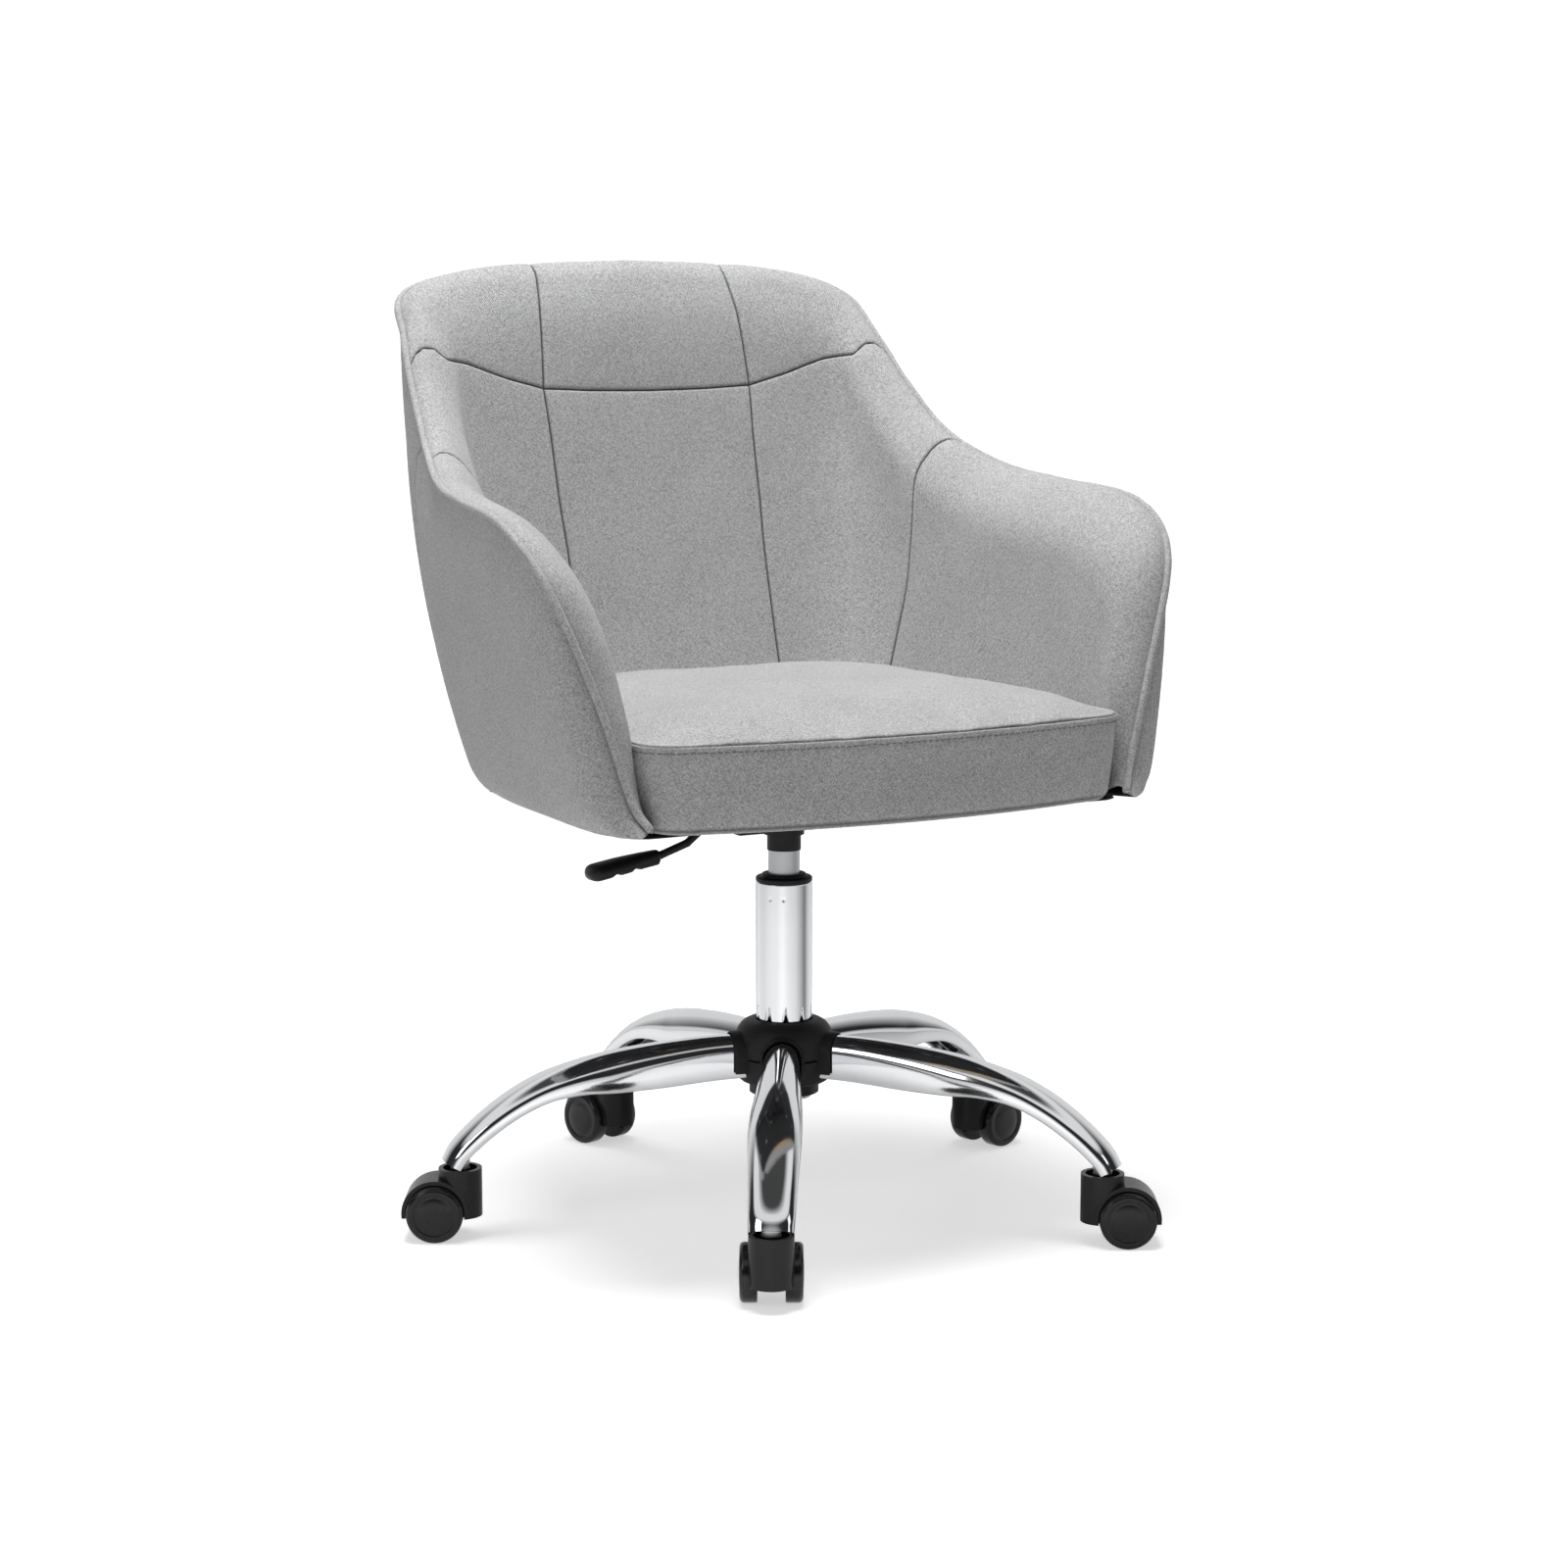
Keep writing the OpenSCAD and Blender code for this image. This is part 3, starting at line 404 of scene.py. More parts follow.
def arc(cx, cz, r, start, end, count):
    """Points of a round stretch of a profile, angles in degrees."""
    return [(cx + r * math.cos(math.radians(q)), cz + r * math.sin(math.radians(q)))
            for q in np.linspace(start, end, count)]


cover_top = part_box("hub_cover_upper")[1][2]
cover_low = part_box("hub_cover_lower")[0][2]
cover_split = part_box("hub_cover_upper")[0][2]
BARREL = [(0.0350, 0), (0.0388, 0.0012), (0.0412, 0.0050), (0.0428, 0.0120), (0.0436, 0.0210),
          (0.0438, 0.0280), (0.0437, 0.0380), (0.0424, 0.0455), (0.0385, 0.0518), (0.0328, 0.0555),
          (0.0270, 0.0570)]
barrel = spline(BARREL, np.linspace(0, 1, 61))
barrel[:, 1] = cover_low + barrel[:, 1] * (cover_top - cover_low) / 0.057


def cover_radius(z):
    """Radius of the hub cover's outside at a height."""
    return float(np.interp(z, barrel[:, 1], barrel[:, 0]))


upper_profile = [(cover_radius(cover_split) - 0.0012, cover_split + 0.0002),
                 (cover_radius(cover_split) - 0.0001, cover_split + 0.0008)]
upper_profile += [(r, z) for r, z in barrel if z > cover_split + 0.0016]
upper_profile += [(0.0256, cover_top - 0.0008), (0.0254, cover_top - 0.006), (0.036, cover_split + 0.001)]
lower_profile = [(0.036, cover_split - 0.003), (cover_radius(cover_split) - 0.0012, cover_split - 0.0006),
                 (cover_radius(cover_split) - 0.0001, cover_split - 0.0012)]
lower_profile += [(r, z) for r, z in reversed(barrel) if z < cover_split - 0.002]
lower_profile += [(0.033, cover_low + 0.0004), (0.033, cover_low + 0.003)]
for name, profile in (("hub_cover_upper", upper_profile), ("hub_cover_lower", lower_profile)):
    verts, faces = lathe(profile, close=True)
    shell = new_piece(name + "_moulding", verts, faces, black_nylon, "base")
    shell.data.set_sharp_from_angle(angle=math.radians(40))
    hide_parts(name)


def arch(half, top, foot=0.1335, spring=0.150):
    """Points (side, height) up one side of a leg's opening, over it and down again."""
    climb = [(-half, z) for z in np.linspace(foot, spring, 7)]
    over = [(half * math.cos(q), spring + (top - spring) * math.sin(q)) for q in np.linspace(math.pi, 0, 19)]
    return np.array(climb[:-1] + over + [(-y, z) for y, z in reversed(climb)][1:])


collar_wall = [(0.0350, arch(0.0192, 0.1692)), (0.0470, arch(0.0190, 0.1690)), (0.0492, arch(0.0187, 0.1687)),
               (0.0500, arch(0.0180, 0.1680)), (0.0496, arch(0.0173, 0.1673)), (0.0350, arch(0.0171, 0.1671))]
collar_verts, collar_faces = [], []
for i in range(5):
    spin = np.array(Matrix.Rotation(math.radians(-90 - BASE_YAW - 72 * i), 3, "Z"))
    start, n = len(collar_verts), len(collar_wall[0][1])
    collar_verts += [tuple(spin @ np.array((r, y, z))) for r, path in collar_wall for y, z in path]
    collar_faces += grid_faces(len(collar_wall), n, wrap_rows=True, start=start)
    for end in (0, n - 1):
        collar_faces.append(tuple(start + k * n + end for k in range(len(collar_wall))))
collars = new_piece("hub_leg_collars", collar_verts, collar_faces, black_nylon, "base")
collars.data.set_sharp_from_angle(angle=math.radians(50))


# ---- column ----
# The chrome tube is swaged into the hub, which leaves ten short creases at its foot, and
# four small crimps near its mouth hold the guide bush. A black ring closes the mouth.
COLUMN_R = 0.025
column_low, column_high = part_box("column_tube")[0][2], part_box("column_tube")[1][2]
crease_top = cover_top + 0.013
rows = np.concatenate([np.linspace(column_low, cover_top - 0.004, 4),
                       np.linspace(cover_top - 0.003, crease_top + 0.002, 22),
                       np.linspace(crease_top + 0.004, column_high - 0.022, 10),
                       np.linspace(column_high - 0.020, column_high - 0.001, 22)])
angles = np.linspace(0, 2 * math.pi, 480, endpoint=False)
height, around = np.meshgrid(rows, angles, indexing="ij")
radius = np.full_like(height, COLUMN_R)
fall = np.clip((crease_top - height) / 0.013, 0, 1)
from_crease = np.abs((around + math.radians(6) + math.pi / 10) % (math.pi / 5) - math.pi / 10) * COLUMN_R
crease_half = 0.0004 + 0.0010 * fall
radius -= 0.0030 * fall**0.6 * np.exp(-(from_crease / crease_half) ** 2)
crimp_z = column_high - 0.0135
for turn in (-147, -119, 33, 61):
    away = np.hypot(np.angle(np.exp(1j * (around - math.radians(turn)))) * COLUMN_R, height - crimp_z)
    radius -= 0.0006 * np.exp(-(away / 0.0011) ** 2)
outside = np.stack([radius * np.cos(around), radius * np.sin(around), height], 2).reshape(-1, 3)
lip = [(COLUMN_R * 0.99, column_high - 0.0002), (COLUMN_R * 0.96, column_high),
       (0.0235, column_high - 0.0003), (0.0231, column_high - 0.006), (0.0231, column_low)]
lip_verts = [(r * math.cos(a), r * math.sin(a), z) for r, z in lip for a in angles]
column_faces = grid_faces(len(rows) + len(lip), len(angles), wrap_rows=True, wrap_cols=True)
column = new_piece("column_chrome_tube", list(outside) + lip_verts, column_faces, chrome, "base")
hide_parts("column_tube")

cap_low, cap_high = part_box("cap_ring")[0][2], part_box("cap_ring")[1][2]
cap_profile = ([(0.0142, cap_low), (0.0247, cap_low), (0.0252, cap_low + 0.0006), (0.0252, cap_low + 0.0024)]
               + arc(0.0236, cap_low + 0.0026, 0.0016, 0, 90, 5) + [(0.0205, cap_low + 0.0044)]
               + [(0.0200, cap_high - 0.0012)] + arc(0.0186, cap_high - 0.0013, 0.0013, 0, 90, 4)
               + [(0.0158, cap_high - 0.0001), (0.0147, cap_high - 0.0012), (0.0142, cap_high - 0.003)])
verts, faces = lathe(cap_profile, close=True)
cap = new_piece("column_cap_ring", verts, faces, black_nylon, "base")
cap.data.set_sharp_from_angle(angle=math.radians(35))
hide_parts("cap_ring")


# ---- hidden steel, plastic and rubber ----
# Turned and pressed pieces inside the hub, column and casters keep their CAD shape and
# take the finish of the stock they are made from.
zinc_steel = hard_finish("zinc_plated_steel", (0.50, 0.51, 0.52), (0.62, 0.63, 0.64), 0.22, 0.38,
                         metallic=1.0, bump=0.06)
ground_rod = hard_finish("ground_steel_rod", (0.66, 0.67, 0.68), (0.74, 0.75, 0.76), 0.10, 0.18,
                         metallic=1.0, bump=0.02)
cylinder_enamel = hard_finish("cylinder_enamel", (0.52, 0.53, 0.54), (0.58, 0.59, 0.60), 0.30, 0.40,
                              metallic=0.8, bump=0.05)
powder_coat = hard_finish("black_powder_coat", (0.014, 0.014, 0.015), (0.024, 0.024, 0.026), 0.34, 0.48,
                          bump=0.28, grain=1300)
acetal = hard_finish("natural_acetal", (0.62, 0.62, 0.59), (0.70, 0.70, 0.67), 0.35, 0.5, bump=0.05)
moulded_rubber = hard_finish("moulded_rubber", (0.018, 0.018, 0.018), (0.03, 0.03, 0.03), 0.6, 0.8, bump=0.15)
FINISHES = {
    zinc_steel: ["caster_sockets", "column_floor", "retaining_clip", "pivot_pin", "plate_bolts", "tee_nuts",
                 "strap_screws"] + [f"caster_stem_{i}" for i in range(1, 6)],
    ground_rod: ["lower_race", "bearing_balls", "piston_rod", "upper_race", "valve_pin"],
    powder_coat: ["hub_socket", "seat_socket", "seat_plate", "cross_straps"],
    acetal: ["guide_bush"], moulded_rubber: ["rubber_bumper"], cylinder_enamel: ["gas_cylinder"],
    black_nylon: ["taper_collar"]}


def paint(node, mat):
    """Gives a piece that keeps its CAD shape its finish."""
    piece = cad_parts[node]
    if not piece.material_slots:
        piece.data.materials.append(mat)
    for slot in piece.material_slots:
        slot.material = mat


for mat, pieces in FINISHES.items():
    for node in pieces:
        paint(node, mat)


# ---- seat mechanism ----
# The lift lever is a bent steel rod, powder coated, that ends in a moulded paddle with
# two finger hollows underneath.
paint("lever_rod", powder_coat)
paddle_low, paddle_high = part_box("lever_paddle")
PADDLE_RINGS, PADDLE_SIDES = 49, 32
paddle_verts = []
for t in np.linspace(0, 1, PADDLE_RINGS):
    x = paddle_high.x + (paddle_low.x - paddle_high.x) * t
    z = 0.3340 + (0.3238 - 0.3340) * t**1.2
    round_end = math.sqrt(max(1 - max(0.0, (t - 0.86) / 0.14) ** 2.4, 0.0))
    neck_end = math.sqrt(max(1 - max(0.0, (0.04 - t) / 0.04) ** 2, 0.0)) * 0.25 + 0.75
    half_y = (0.0065 + (0.0158 - 0.0065) * min(1, t / 0.55) ** 0.8) * max(round_end, 0.05) * neck_end
    half_up = (0.0066 + (0.0071 - 0.0066) * t) * max(round_end, 0.05) * neck_end
    ridge = 0.0019 * max(0.0, math.sin((t - 0.30) / 0.56 * 4 * math.pi)) if 0.30 < t < 0.86 else 0.0
    for q in np.linspace(0, 2 * math.pi, PADDLE_SIDES, endpoint=False):
        c, s = math.cos(q), math.sin(q)
        y = half_y * math.copysign(abs(c) ** 0.72, c)
        up = half_up * math.copysign(abs(s) ** 0.8, s)
        if s < -0.2:
            up += ridge
        paddle_verts.append((x, y, z + up))
paddle_faces = grid_faces(PADDLE_RINGS, PADDLE_SIDES, wrap_cols=True)
paddle_faces.append(tuple(range(PADDLE_SIDES)))
paddle_faces.append(tuple(range(len(paddle_verts) - PADDLE_SIDES, len(paddle_verts))))
black_moulding = hard_finish("black_moulding", (0.012, 0.012, 0.013), (0.022, 0.022, 0.023), 0.30, 0.44,
                             bump=0.16, grain=1500)
paddle = new_piece("lever_paddle_moulding", paddle_verts, paddle_faces, black_moulding, "lever")
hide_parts("lever_paddle")
for node in ("seat_plate", "seat_socket", "lever_rod"):
    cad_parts[node].data.set_sharp_from_angle(angle=math.radians(30))


# ---- casters ----
# Each caster is a black nylon hood with a web between two glossy hard wheels. The wheels
# have a rounded rim and a shallow dished disc, and roll on an axle through the hood.
TRAIL_TURN = [62, 152, 107, 17, -28]
TRAIL = 0.021
WHEEL_R = 0.025
WHEEL_W = 0.0155
WHEEL_GAP = 0.023
hood_nylon = hard_finish("hood_nylon", (0.010, 0.010, 0.011), (0.019, 0.019, 0.020), 0.24, 0.38,
                         bump=0.07, grain=1200, coat=0.15)
wheel_nylon = hard_finish("wheel_nylon", (0.007, 0.007, 0.008), (0.016, 0.016, 0.017), 0.12, 0.24,
                          bump=0.03, grain=900, coat=0.4)
wheel_profile = ([(0.0031, 0), (WHEEL_R - 0.0012, 0)] + arc(WHEEL_R - 0.0012, 0.0012, 0.0012, -90, 0, 4)
                 + arc(WHEEL_R - 0.0042, WHEEL_W - 0.0048, 0.0042, 0, 82, 10)
                 + [(WHEEL_R - 0.0052, WHEEL_W - 0.0007)]
                 + arc(WHEEL_R - 0.0062, WHEEL_W - 0.0014, 0.0006, 60, 190, 5)
                 + [(WHEEL_R - 0.0075, WHEEL_W - 0.0018), (WHEEL_R - 0.0100, WHEEL_W - 0.0010),
                    (WHEEL_R - 0.0140, WHEEL_W - 0.0003), (0.006, WHEEL_W), (0.0003, WHEEL_W)])
wheel_ring, wheel_faces = lathe(wheel_profile, steps=72)
for i in range(5):
    turn = math.radians(-90 - BASE_YAW - 72 * i)
    trail = math.radians(TRAIL_TURN[i])
    hub = Vector((STEM_CIRCLE * math.cos(turn) + TRAIL * math.cos(trail),
                  STEM_CIRCLE * math.sin(turn) + TRAIL * math.sin(trail), WHEEL_R))
    axle = Vector((-math.sin(trail), math.cos(trail), 0))
    for side, label in ((-1, "left"), (1, "right")):
        face_out = (axle * side).to_track_quat("Z", "Y").to_matrix().to_4x4()
        place = Matrix.Translation(hub + axle * side * WHEEL_GAP / 2) @ face_out
        verts = [place @ Vector(v) for v in wheel_ring]
        name = f"wheel_{label}_{i + 1}"
        wheel = new_piece(name + "_moulding", verts, wheel_faces, wheel_nylon, name)
        wheel.data.set_sharp_from_angle(angle=math.radians(50))
        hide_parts(name)
    paint(f"caster_hood_{i + 1}", hood_nylon)
    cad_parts[f"caster_hood_{i + 1}"].data.set_sharp_from_angle(angle=math.radians(35))


# ---- tub shell and seat board ----
# The tub's shell is moulded from plywood veneers and the seat board is cut from flat
# plywood. Both are hidden, but for a strip of board round the mechanism underneath.
plywood, nodes, links, shader = new_material("birch_plywood")
place = nodes.new("ShaderNodeTexCoord").outputs["Object"]
stretch = nodes.new("ShaderNodeMapping")
stretch.inputs["Scale"].default_value = (6, 60, 220)
links.new(place, stretch.inputs["Vector"])
fibre = noise_node(plywood.node_tree, stretch.outputs["Vector"], 1.0, 5, 0.6)
wood_tone = tone_node(plywood.node_tree, fibre.outputs["Fac"], (0.42, 0.27, 0.14), (0.62, 0.45, 0.27))
links.new(wood_tone.outputs["Result"], shader.inputs["Base Color"])
wood_bump = bump_node(plywood.node_tree, fibre.outputs["Fac"], 0.2, 0.0005)
links.new(wood_bump.outputs["Normal"], shader.inputs["Normal"])
shader.inputs["Roughness"].default_value = 0.6
paint("seat_board", plywood)


# ---- grey fabric ----
# A plain weave of melange yarn: light and dark grey fibres spun together, so every yarn
# has its own tone and the cloth looks speckled close up and a soft even grey from afar.


def yarn_plane_group():
    """Plain weave over one plane: tone of the yarn on top, and its height."""
    group, come, go = node_group(
        "plain_weave",
        [("U", "NodeSocketFloat", 0.0), ("V", "NodeSocketFloat", 0.0),
         ("Yarns Per Metre", "NodeSocketFloat", 1000.0)],
        [("Tone", "NodeSocketFloat"), ("Height", "NodeSocketFloat")])
    u = math_node(group, "MULTIPLY", come.outputs["U"], come.outputs["Yarns Per Metre"])
    v = math_node(group, "MULTIPLY", come.outputs["V"], come.outputs["Yarns Per Metre"])
    column, row = math_node(group, "FLOOR", u), math_node(group, "FLOOR", v)

    def yarn(across, along, count):
        turn = math_node(group, "MULTIPLY", across, math.pi)
        profile = math_node(group, "ABSOLUTE", math_node(group, "SINE", turn))
        phase = math_node(group, "MULTIPLY", math_node(group, "ADD", along, count), math.pi)
        wave = math_node(group, "MULTIPLY", math_node(group, "COSINE", phase), 0.5)
        return math_node(group, "MULTIPLY", profile, math_node(group, "ADD", wave, 0.5))

    warp = yarn(u, v, column)
    weft = yarn(v, u, math_node(group, "ADD", row, 1.0))
    over = math_node(group, "GREATER_THAN", warp, weft)
    tints = []
    for number, along in ((column, v), (row, u)):
        tones = group.nodes.new("ShaderNodeTexNoise")
        tones.noise_dimensions = "2D"
        tones.inputs["Scale"].default_value = 1.0
        tones.inputs["Detail"].default_value = 2
        spot = group.nodes.new("ShaderNodeCombineXYZ")
        group.links.new(math_node(group, "MULTIPLY", number, 7.31), spot.inputs["X"])
        group.links.new(math_node(group, "MULTIPLY", along, 0.45), spot.inputs["Y"])
        group.links.new(spot.outputs["Vector"], tones.inputs["Vector"])
        tints.append(tones.outputs["Fac"])
    pick = group.nodes.new("ShaderNodeMix")
    group.links.new(over, pick.inputs["Factor"])
    group.links.new(tints[1], pick.inputs["A"])
    group.links.new(tints[0], pick.inputs["B"])
    group.links.new(pick.outputs["Result"], go.inputs["Tone"])
    group.links.new(math_node(group, "MAXIMUM", warp, weft), go.inputs["Height"])
    return group


def melange_cloth_group():
    """Weave wrapped round a piece from three sides, with slubs and soft shading."""
    group, come, go = node_group(
        "melange_cloth",
        [("Yarns Per Metre", "NodeSocketFloat", 900.0), ("Contrast", "NodeSocketFloat", 1.0)],
        [("Tone", "NodeSocketFloat"), ("Height", "NodeSocketFloat"), ("Nap", "NodeSocketFloat")])
    coords = group.nodes.new("ShaderNodeTexCoord")
    place = group.nodes.new("ShaderNodeSeparateXYZ")
    group.links.new(coords.outputs["Object"], place.inputs["Vector"])
    facing = group.nodes.new("ShaderNodeSeparateXYZ")
    group.links.new(coords.outputs["Normal"], facing.inputs["Vector"])
    x, y, z = (place.outputs[k] for k in "XYZ")
    shares = [math_node(group, "POWER", math_node(group, "ABSOLUTE", facing.outputs[k]), 8.0) for k in "XYZ"]
    total = math_node(group, "ADD", math_node(group, "ADD", shares[0], shares[1]), shares[2])
    tone, height = None, None
    for share, (u, v) in zip(shares, ((y, z), (x, z), (x, y))):
        plane = group.nodes.new("ShaderNodeGroup")
        plane.node_tree = plain_weave
        group.links.new(u, plane.inputs["U"])
        group.links.new(v, plane.inputs["V"])
        group.links.new(come.outputs["Yarns Per Metre"], plane.inputs["Yarns Per Metre"])
        part = math_node(group, "DIVIDE", share, total)
        t = math_node(group, "MULTIPLY", plane.outputs["Tone"], part)
        h = math_node(group, "MULTIPLY", plane.outputs["Height"], part)
        tone = t if tone is None else math_node(group, "ADD", tone, t)
        height = h if height is None else math_node(group, "ADD", height, h)
    fleck = noise_node(group, coords.outputs["Object"], 1500, 1, 0.5)
    broad = noise_node(group, coords.outputs["Object"], 14, 3, 0.5)
    mixed = math_node(group, "ADD", math_node(group, "MULTIPLY", tone, 0.7),
                      math_node(group, "MULTIPLY", fleck.outputs["Fac"], 0.3))
    mixed = math_node(group, "ADD", math_node(group, "MULTIPLY", mixed, 0.93),
                      math_node(group, "MULTIPLY", broad.outputs["Fac"], 0.07))
    spread = math_node(group, "MULTIPLY", math_node(group, "SUBTRACT", mixed, 0.5), 3.4)
    spread = math_node(group, "MULTIPLY", spread, come.outputs["Contrast"])
    tuned = math_node(group, "ADD", spread, 0.5, clamp=True)
    group.links.new(tuned, go.inputs["Tone"])
    group.links.new(height, go.inputs["Height"])
    nap = noise_node(group, coords.outputs["Object"], 2600, 2)
    group.links.new(nap.outputs["Fac"], go.inputs["Nap"])
    return group


plain_weave = yarn_plane_group()
melange_cloth = melange_cloth_group()


def cloth_finish(name, dark, light, yarns=900.0, contrast=1.0, bump=0.55, sheen=0.18):
    """Woven cloth of two fibre tones, with painted shadow darkening it along the seams a cover marks."""
    mat, nodes, links, shader = new_material(name)
    cloth = nodes.new("ShaderNodeGroup")
    cloth.node_tree = melange_cloth
    cloth.inputs["Yarns Per Metre"].default_value = yarns
    cloth.inputs["Contrast"].default_value = contrast
    tone = tone_node(mat.node_tree, cloth.outputs["Tone"], dark, light)
    # Painted shadow: the base colour runs to near black where the cover's seam attribute is high, in place of
    # the shade inside each seam.
    seam = nodes.new("ShaderNodeAttribute")
    seam.attribute_name = "painted_seam_shadow"
    seam_shadow_tone = tone_node(mat.node_tree, seam.outputs["Fac"], dark, (0.03, 0.03, 0.03))
    links.new(tone.outputs["Result"], seam_shadow_tone.inputs["A"])
    links.new(seam_shadow_tone.outputs["Result"], shader.inputs["Base Color"])
    weave_bump = bump_node(mat.node_tree, cloth.outputs["Height"], bump, 0.0005)
    nap_bump = bump_node(mat.node_tree, cloth.outputs["Nap"], 0.25, 0.0002)
    links.new(weave_bump.outputs["Normal"], nap_bump.inputs["Normal"])
    links.new(nap_bump.outputs["Normal"], shader.inputs["Normal"])
    shader.inputs["Roughness"].default_value = 0.92
    shader.inputs["Specular IOR Level"].default_value = 0.25
    shader.inputs["Sheen Weight"].default_value = sheen
    shader.inputs["Sheen Roughness"].default_value = 0.5
    return mat


def paint_seam_shadows(mesh, points, shades):
    """Marks how deep in a seam each point of a cover lies, as the strength of the shadow painted into the
    cloth's colour there.
    """
    known = KDTree(len(points))
    for k, point in enumerate(points):
        known.insert(point, k)
    known.balance()
    mark = mesh.attributes.new("painted_seam_shadow", "FLOAT", "POINT")
    for vertex in mesh.vertices:
        mark.data[vertex.index].value = float(shades[known.find(vertex.co)[1]])


grey_fabric = cloth_finish("grey_melange_fabric", (0.22, 0.22, 0.223), (0.56, 0.56, 0.563),
                           yarns=1000, contrast=1.05)


# ---- inner back and arms ----
# Foam under eight sewn panels. A yoke seam crosses the back, two seams run up to the rim
# and two run down from it, and a curved seam joins each arm panel to the back. The cloth
# dives into every seam and swells softly between them.
# Painted shadow darkens the cloth's colour along every seam of the lining.
UNDERSIDE = 0.388
RIM = [[0, 326, 456], [140, 328, 450], [226, 312, 430], [243, 272, 390], [253, 228, 344],
       [265, 170, 298], [284, 96, 270], [296, 20, 260], [307, -91, 248], [297, -155, 204],
       [264, -179, 109], [240, -188, 29], [228, -200, 5]]
FOOT = [[0, 236, 0], [110, 232, 0], [180, 208, 0], [222, 165, 0], [246, 110, 0],
        [257, 50, 0], [262, 0, 0], [264, -60, 0], [266, -110, 0], [266, -150, 0],
        [264, -172, 0], [256, -190, 0], [238, -204, 0]]
INNER_RIM = [[0, 288, 432], [136, 288, 426], [194, 274, 406], [205, 248, 368], [213, 214, 322],
             [221, 160, 275], [232, 92, 246], [240, 20, 235], [249, -87, 220], [247, -145, 180],
             [234, -168, 100], [228, -178, 28], [220, -186, 5]]
INNER_FOOT = [[0, 168, 0], [85, 168, 0], [138, 155, 0], [165, 128, 0], [182, 95, 0],
              [194, 55, 0], [204, 15, 0], [211, -30, 0], [217, -80, 0], [220, -120, 0],
              [221, -150, 0], [221, -172, 0], [219, -184, 0]]
OUT_BOW = [15, 15, 20, 21, 18, 16, 11, 10, 9, 9, 10, 5, 0]
IN_BOW = [12, 9, 12, 12, 8, 4, 1, 1, 0, 0, 0, 0, 0]
STATIONS = len(RIM) - 1
CROWN_RISE = 0.014
CROWN_SHARE = 0.14
FOAM_ROUND = 0.12
SEAM_DIVE, SEAM_DIVE_WIDTH = 0.0046, 0.0006
SEAM_PULL, SEAM_PULL_WIDTH = 0.0010, 0.010
SEAM_DEEPEST = 0.0056
# Darkness and width of the shadow painted into the cloth's colour along each seam.
SEAM_SHADOW_DARKNESS, SEAM_SHADOW_DARKNESS_WIDTH = 0.8, 0.0008
FOAM_SWELL = 0.0012


def on_tub(stations, u):
    """Points along one of the tub's lines for u from -1 (one arm) to 1 (the other)."""
    u = np.atleast_1d(u).astype(float)
    p = spline(stations, np.abs(u)) / 1000
    p[:, 0] *= np.where(u < 0, -1, 1)
    p[:, 2] += UNDERSIDE
    return p


def way_out(u):
    """Level direction out of the tub at u."""
    w = on_tub(RIM, u) + on_tub(FOOT, u) - on_tub(INNER_RIM, u) - on_tub(INNER_FOOT, u)
    w[:, 2] = 0
    return w / np.linalg.norm(w, axis=1)[:, None]


def face_point(u, v, top, foot, bow):
    """Point at share v of the way down a face of the tub."""
    u, v = np.broadcast_arrays(np.asarray(u, float).ravel(), np.asarray(v, float).ravel())
    a, b = on_tub(top, u), on_tub(foot, u)
    m = (a + b) / 2 + way_out(u) * spline(bow, np.abs(u)) / 1000
    v = v[:, None]
    return a * (1 - v) * (1 - 2 * v) + m * 4 * v * (1 - v) + b * v * (2 * v - 1)


def sharp_lining(u, s):
    """Point on the rolled rim, then down the inner face, before the foam rounds the two."""
    w = np.clip(s / CROWN_SHARE, 0, 1)[:, None]
    a, b = on_tub(RIM, u), on_tub(INNER_RIM, u)
    span = np.linalg.norm(a - b, axis=1)[:, None]
    lift = (way_out(u) * 0.25 + np.array([0, 0, 1])) * np.minimum(CROWN_RISE, span / 3) * 4 * w * (1 - w)
    over = a * (1 - w) + b * w + lift
    down = face_point(u, np.clip((s - CROWN_SHARE) / (1 - CROWN_SHARE), 0, 1), INNER_RIM, INNER_FOOT, IN_BOW)
    return np.where((s > CROWN_SHARE)[:, None], down, over)


def lining(u, s):
    """Point on the lining: s runs from the piping over the rim and down to the seat."""
    u, s = np.broadcast_arrays(np.asarray(u, float).ravel(), np.asarray(s, float).ravel())
    reach = np.minimum(np.minimum(FOAM_ROUND, s), 1 - s)
    total, point = 0, 0
    for k in np.linspace(-1, 1, 9):
        weight = 1.05 - k * k
        point = point + weight * sharp_lining(u, s + reach * k)
        total += weight
    return point / total


def solve_u(s, wanted_x, low=0.0, high=0.4):
    """The u at which the lining at s is as far from the middle as wanted_x(height) says."""
    lo, hi = np.full(len(s), low), np.full(len(s), high)
    for _ in range(40):
        mid = (lo + hi) / 2
        p = lining(mid, s)
        less = np.abs(p[:, 0]) < wanted_x(p[:, 2])
        lo, hi = np.where(less, mid, lo), np.where(less, hi, mid)
    return (lo + hi) / 2


def yoke_height(x):
    """Height of the yoke seam over the floor, from the middle of the back outwards."""
    return np.interp(np.abs(x), [0, 0.060, 0.107, 0.145, 0.185, 0.218, 0.238, 0.252],
                     [0.7275, 0.7285, 0.731, 0.741, 0.755, 0.7605, 0.759, 0.752])


YOKE_END = 3.55 / STATIONS
YOKE_TURN = 2.9 / STATIONS


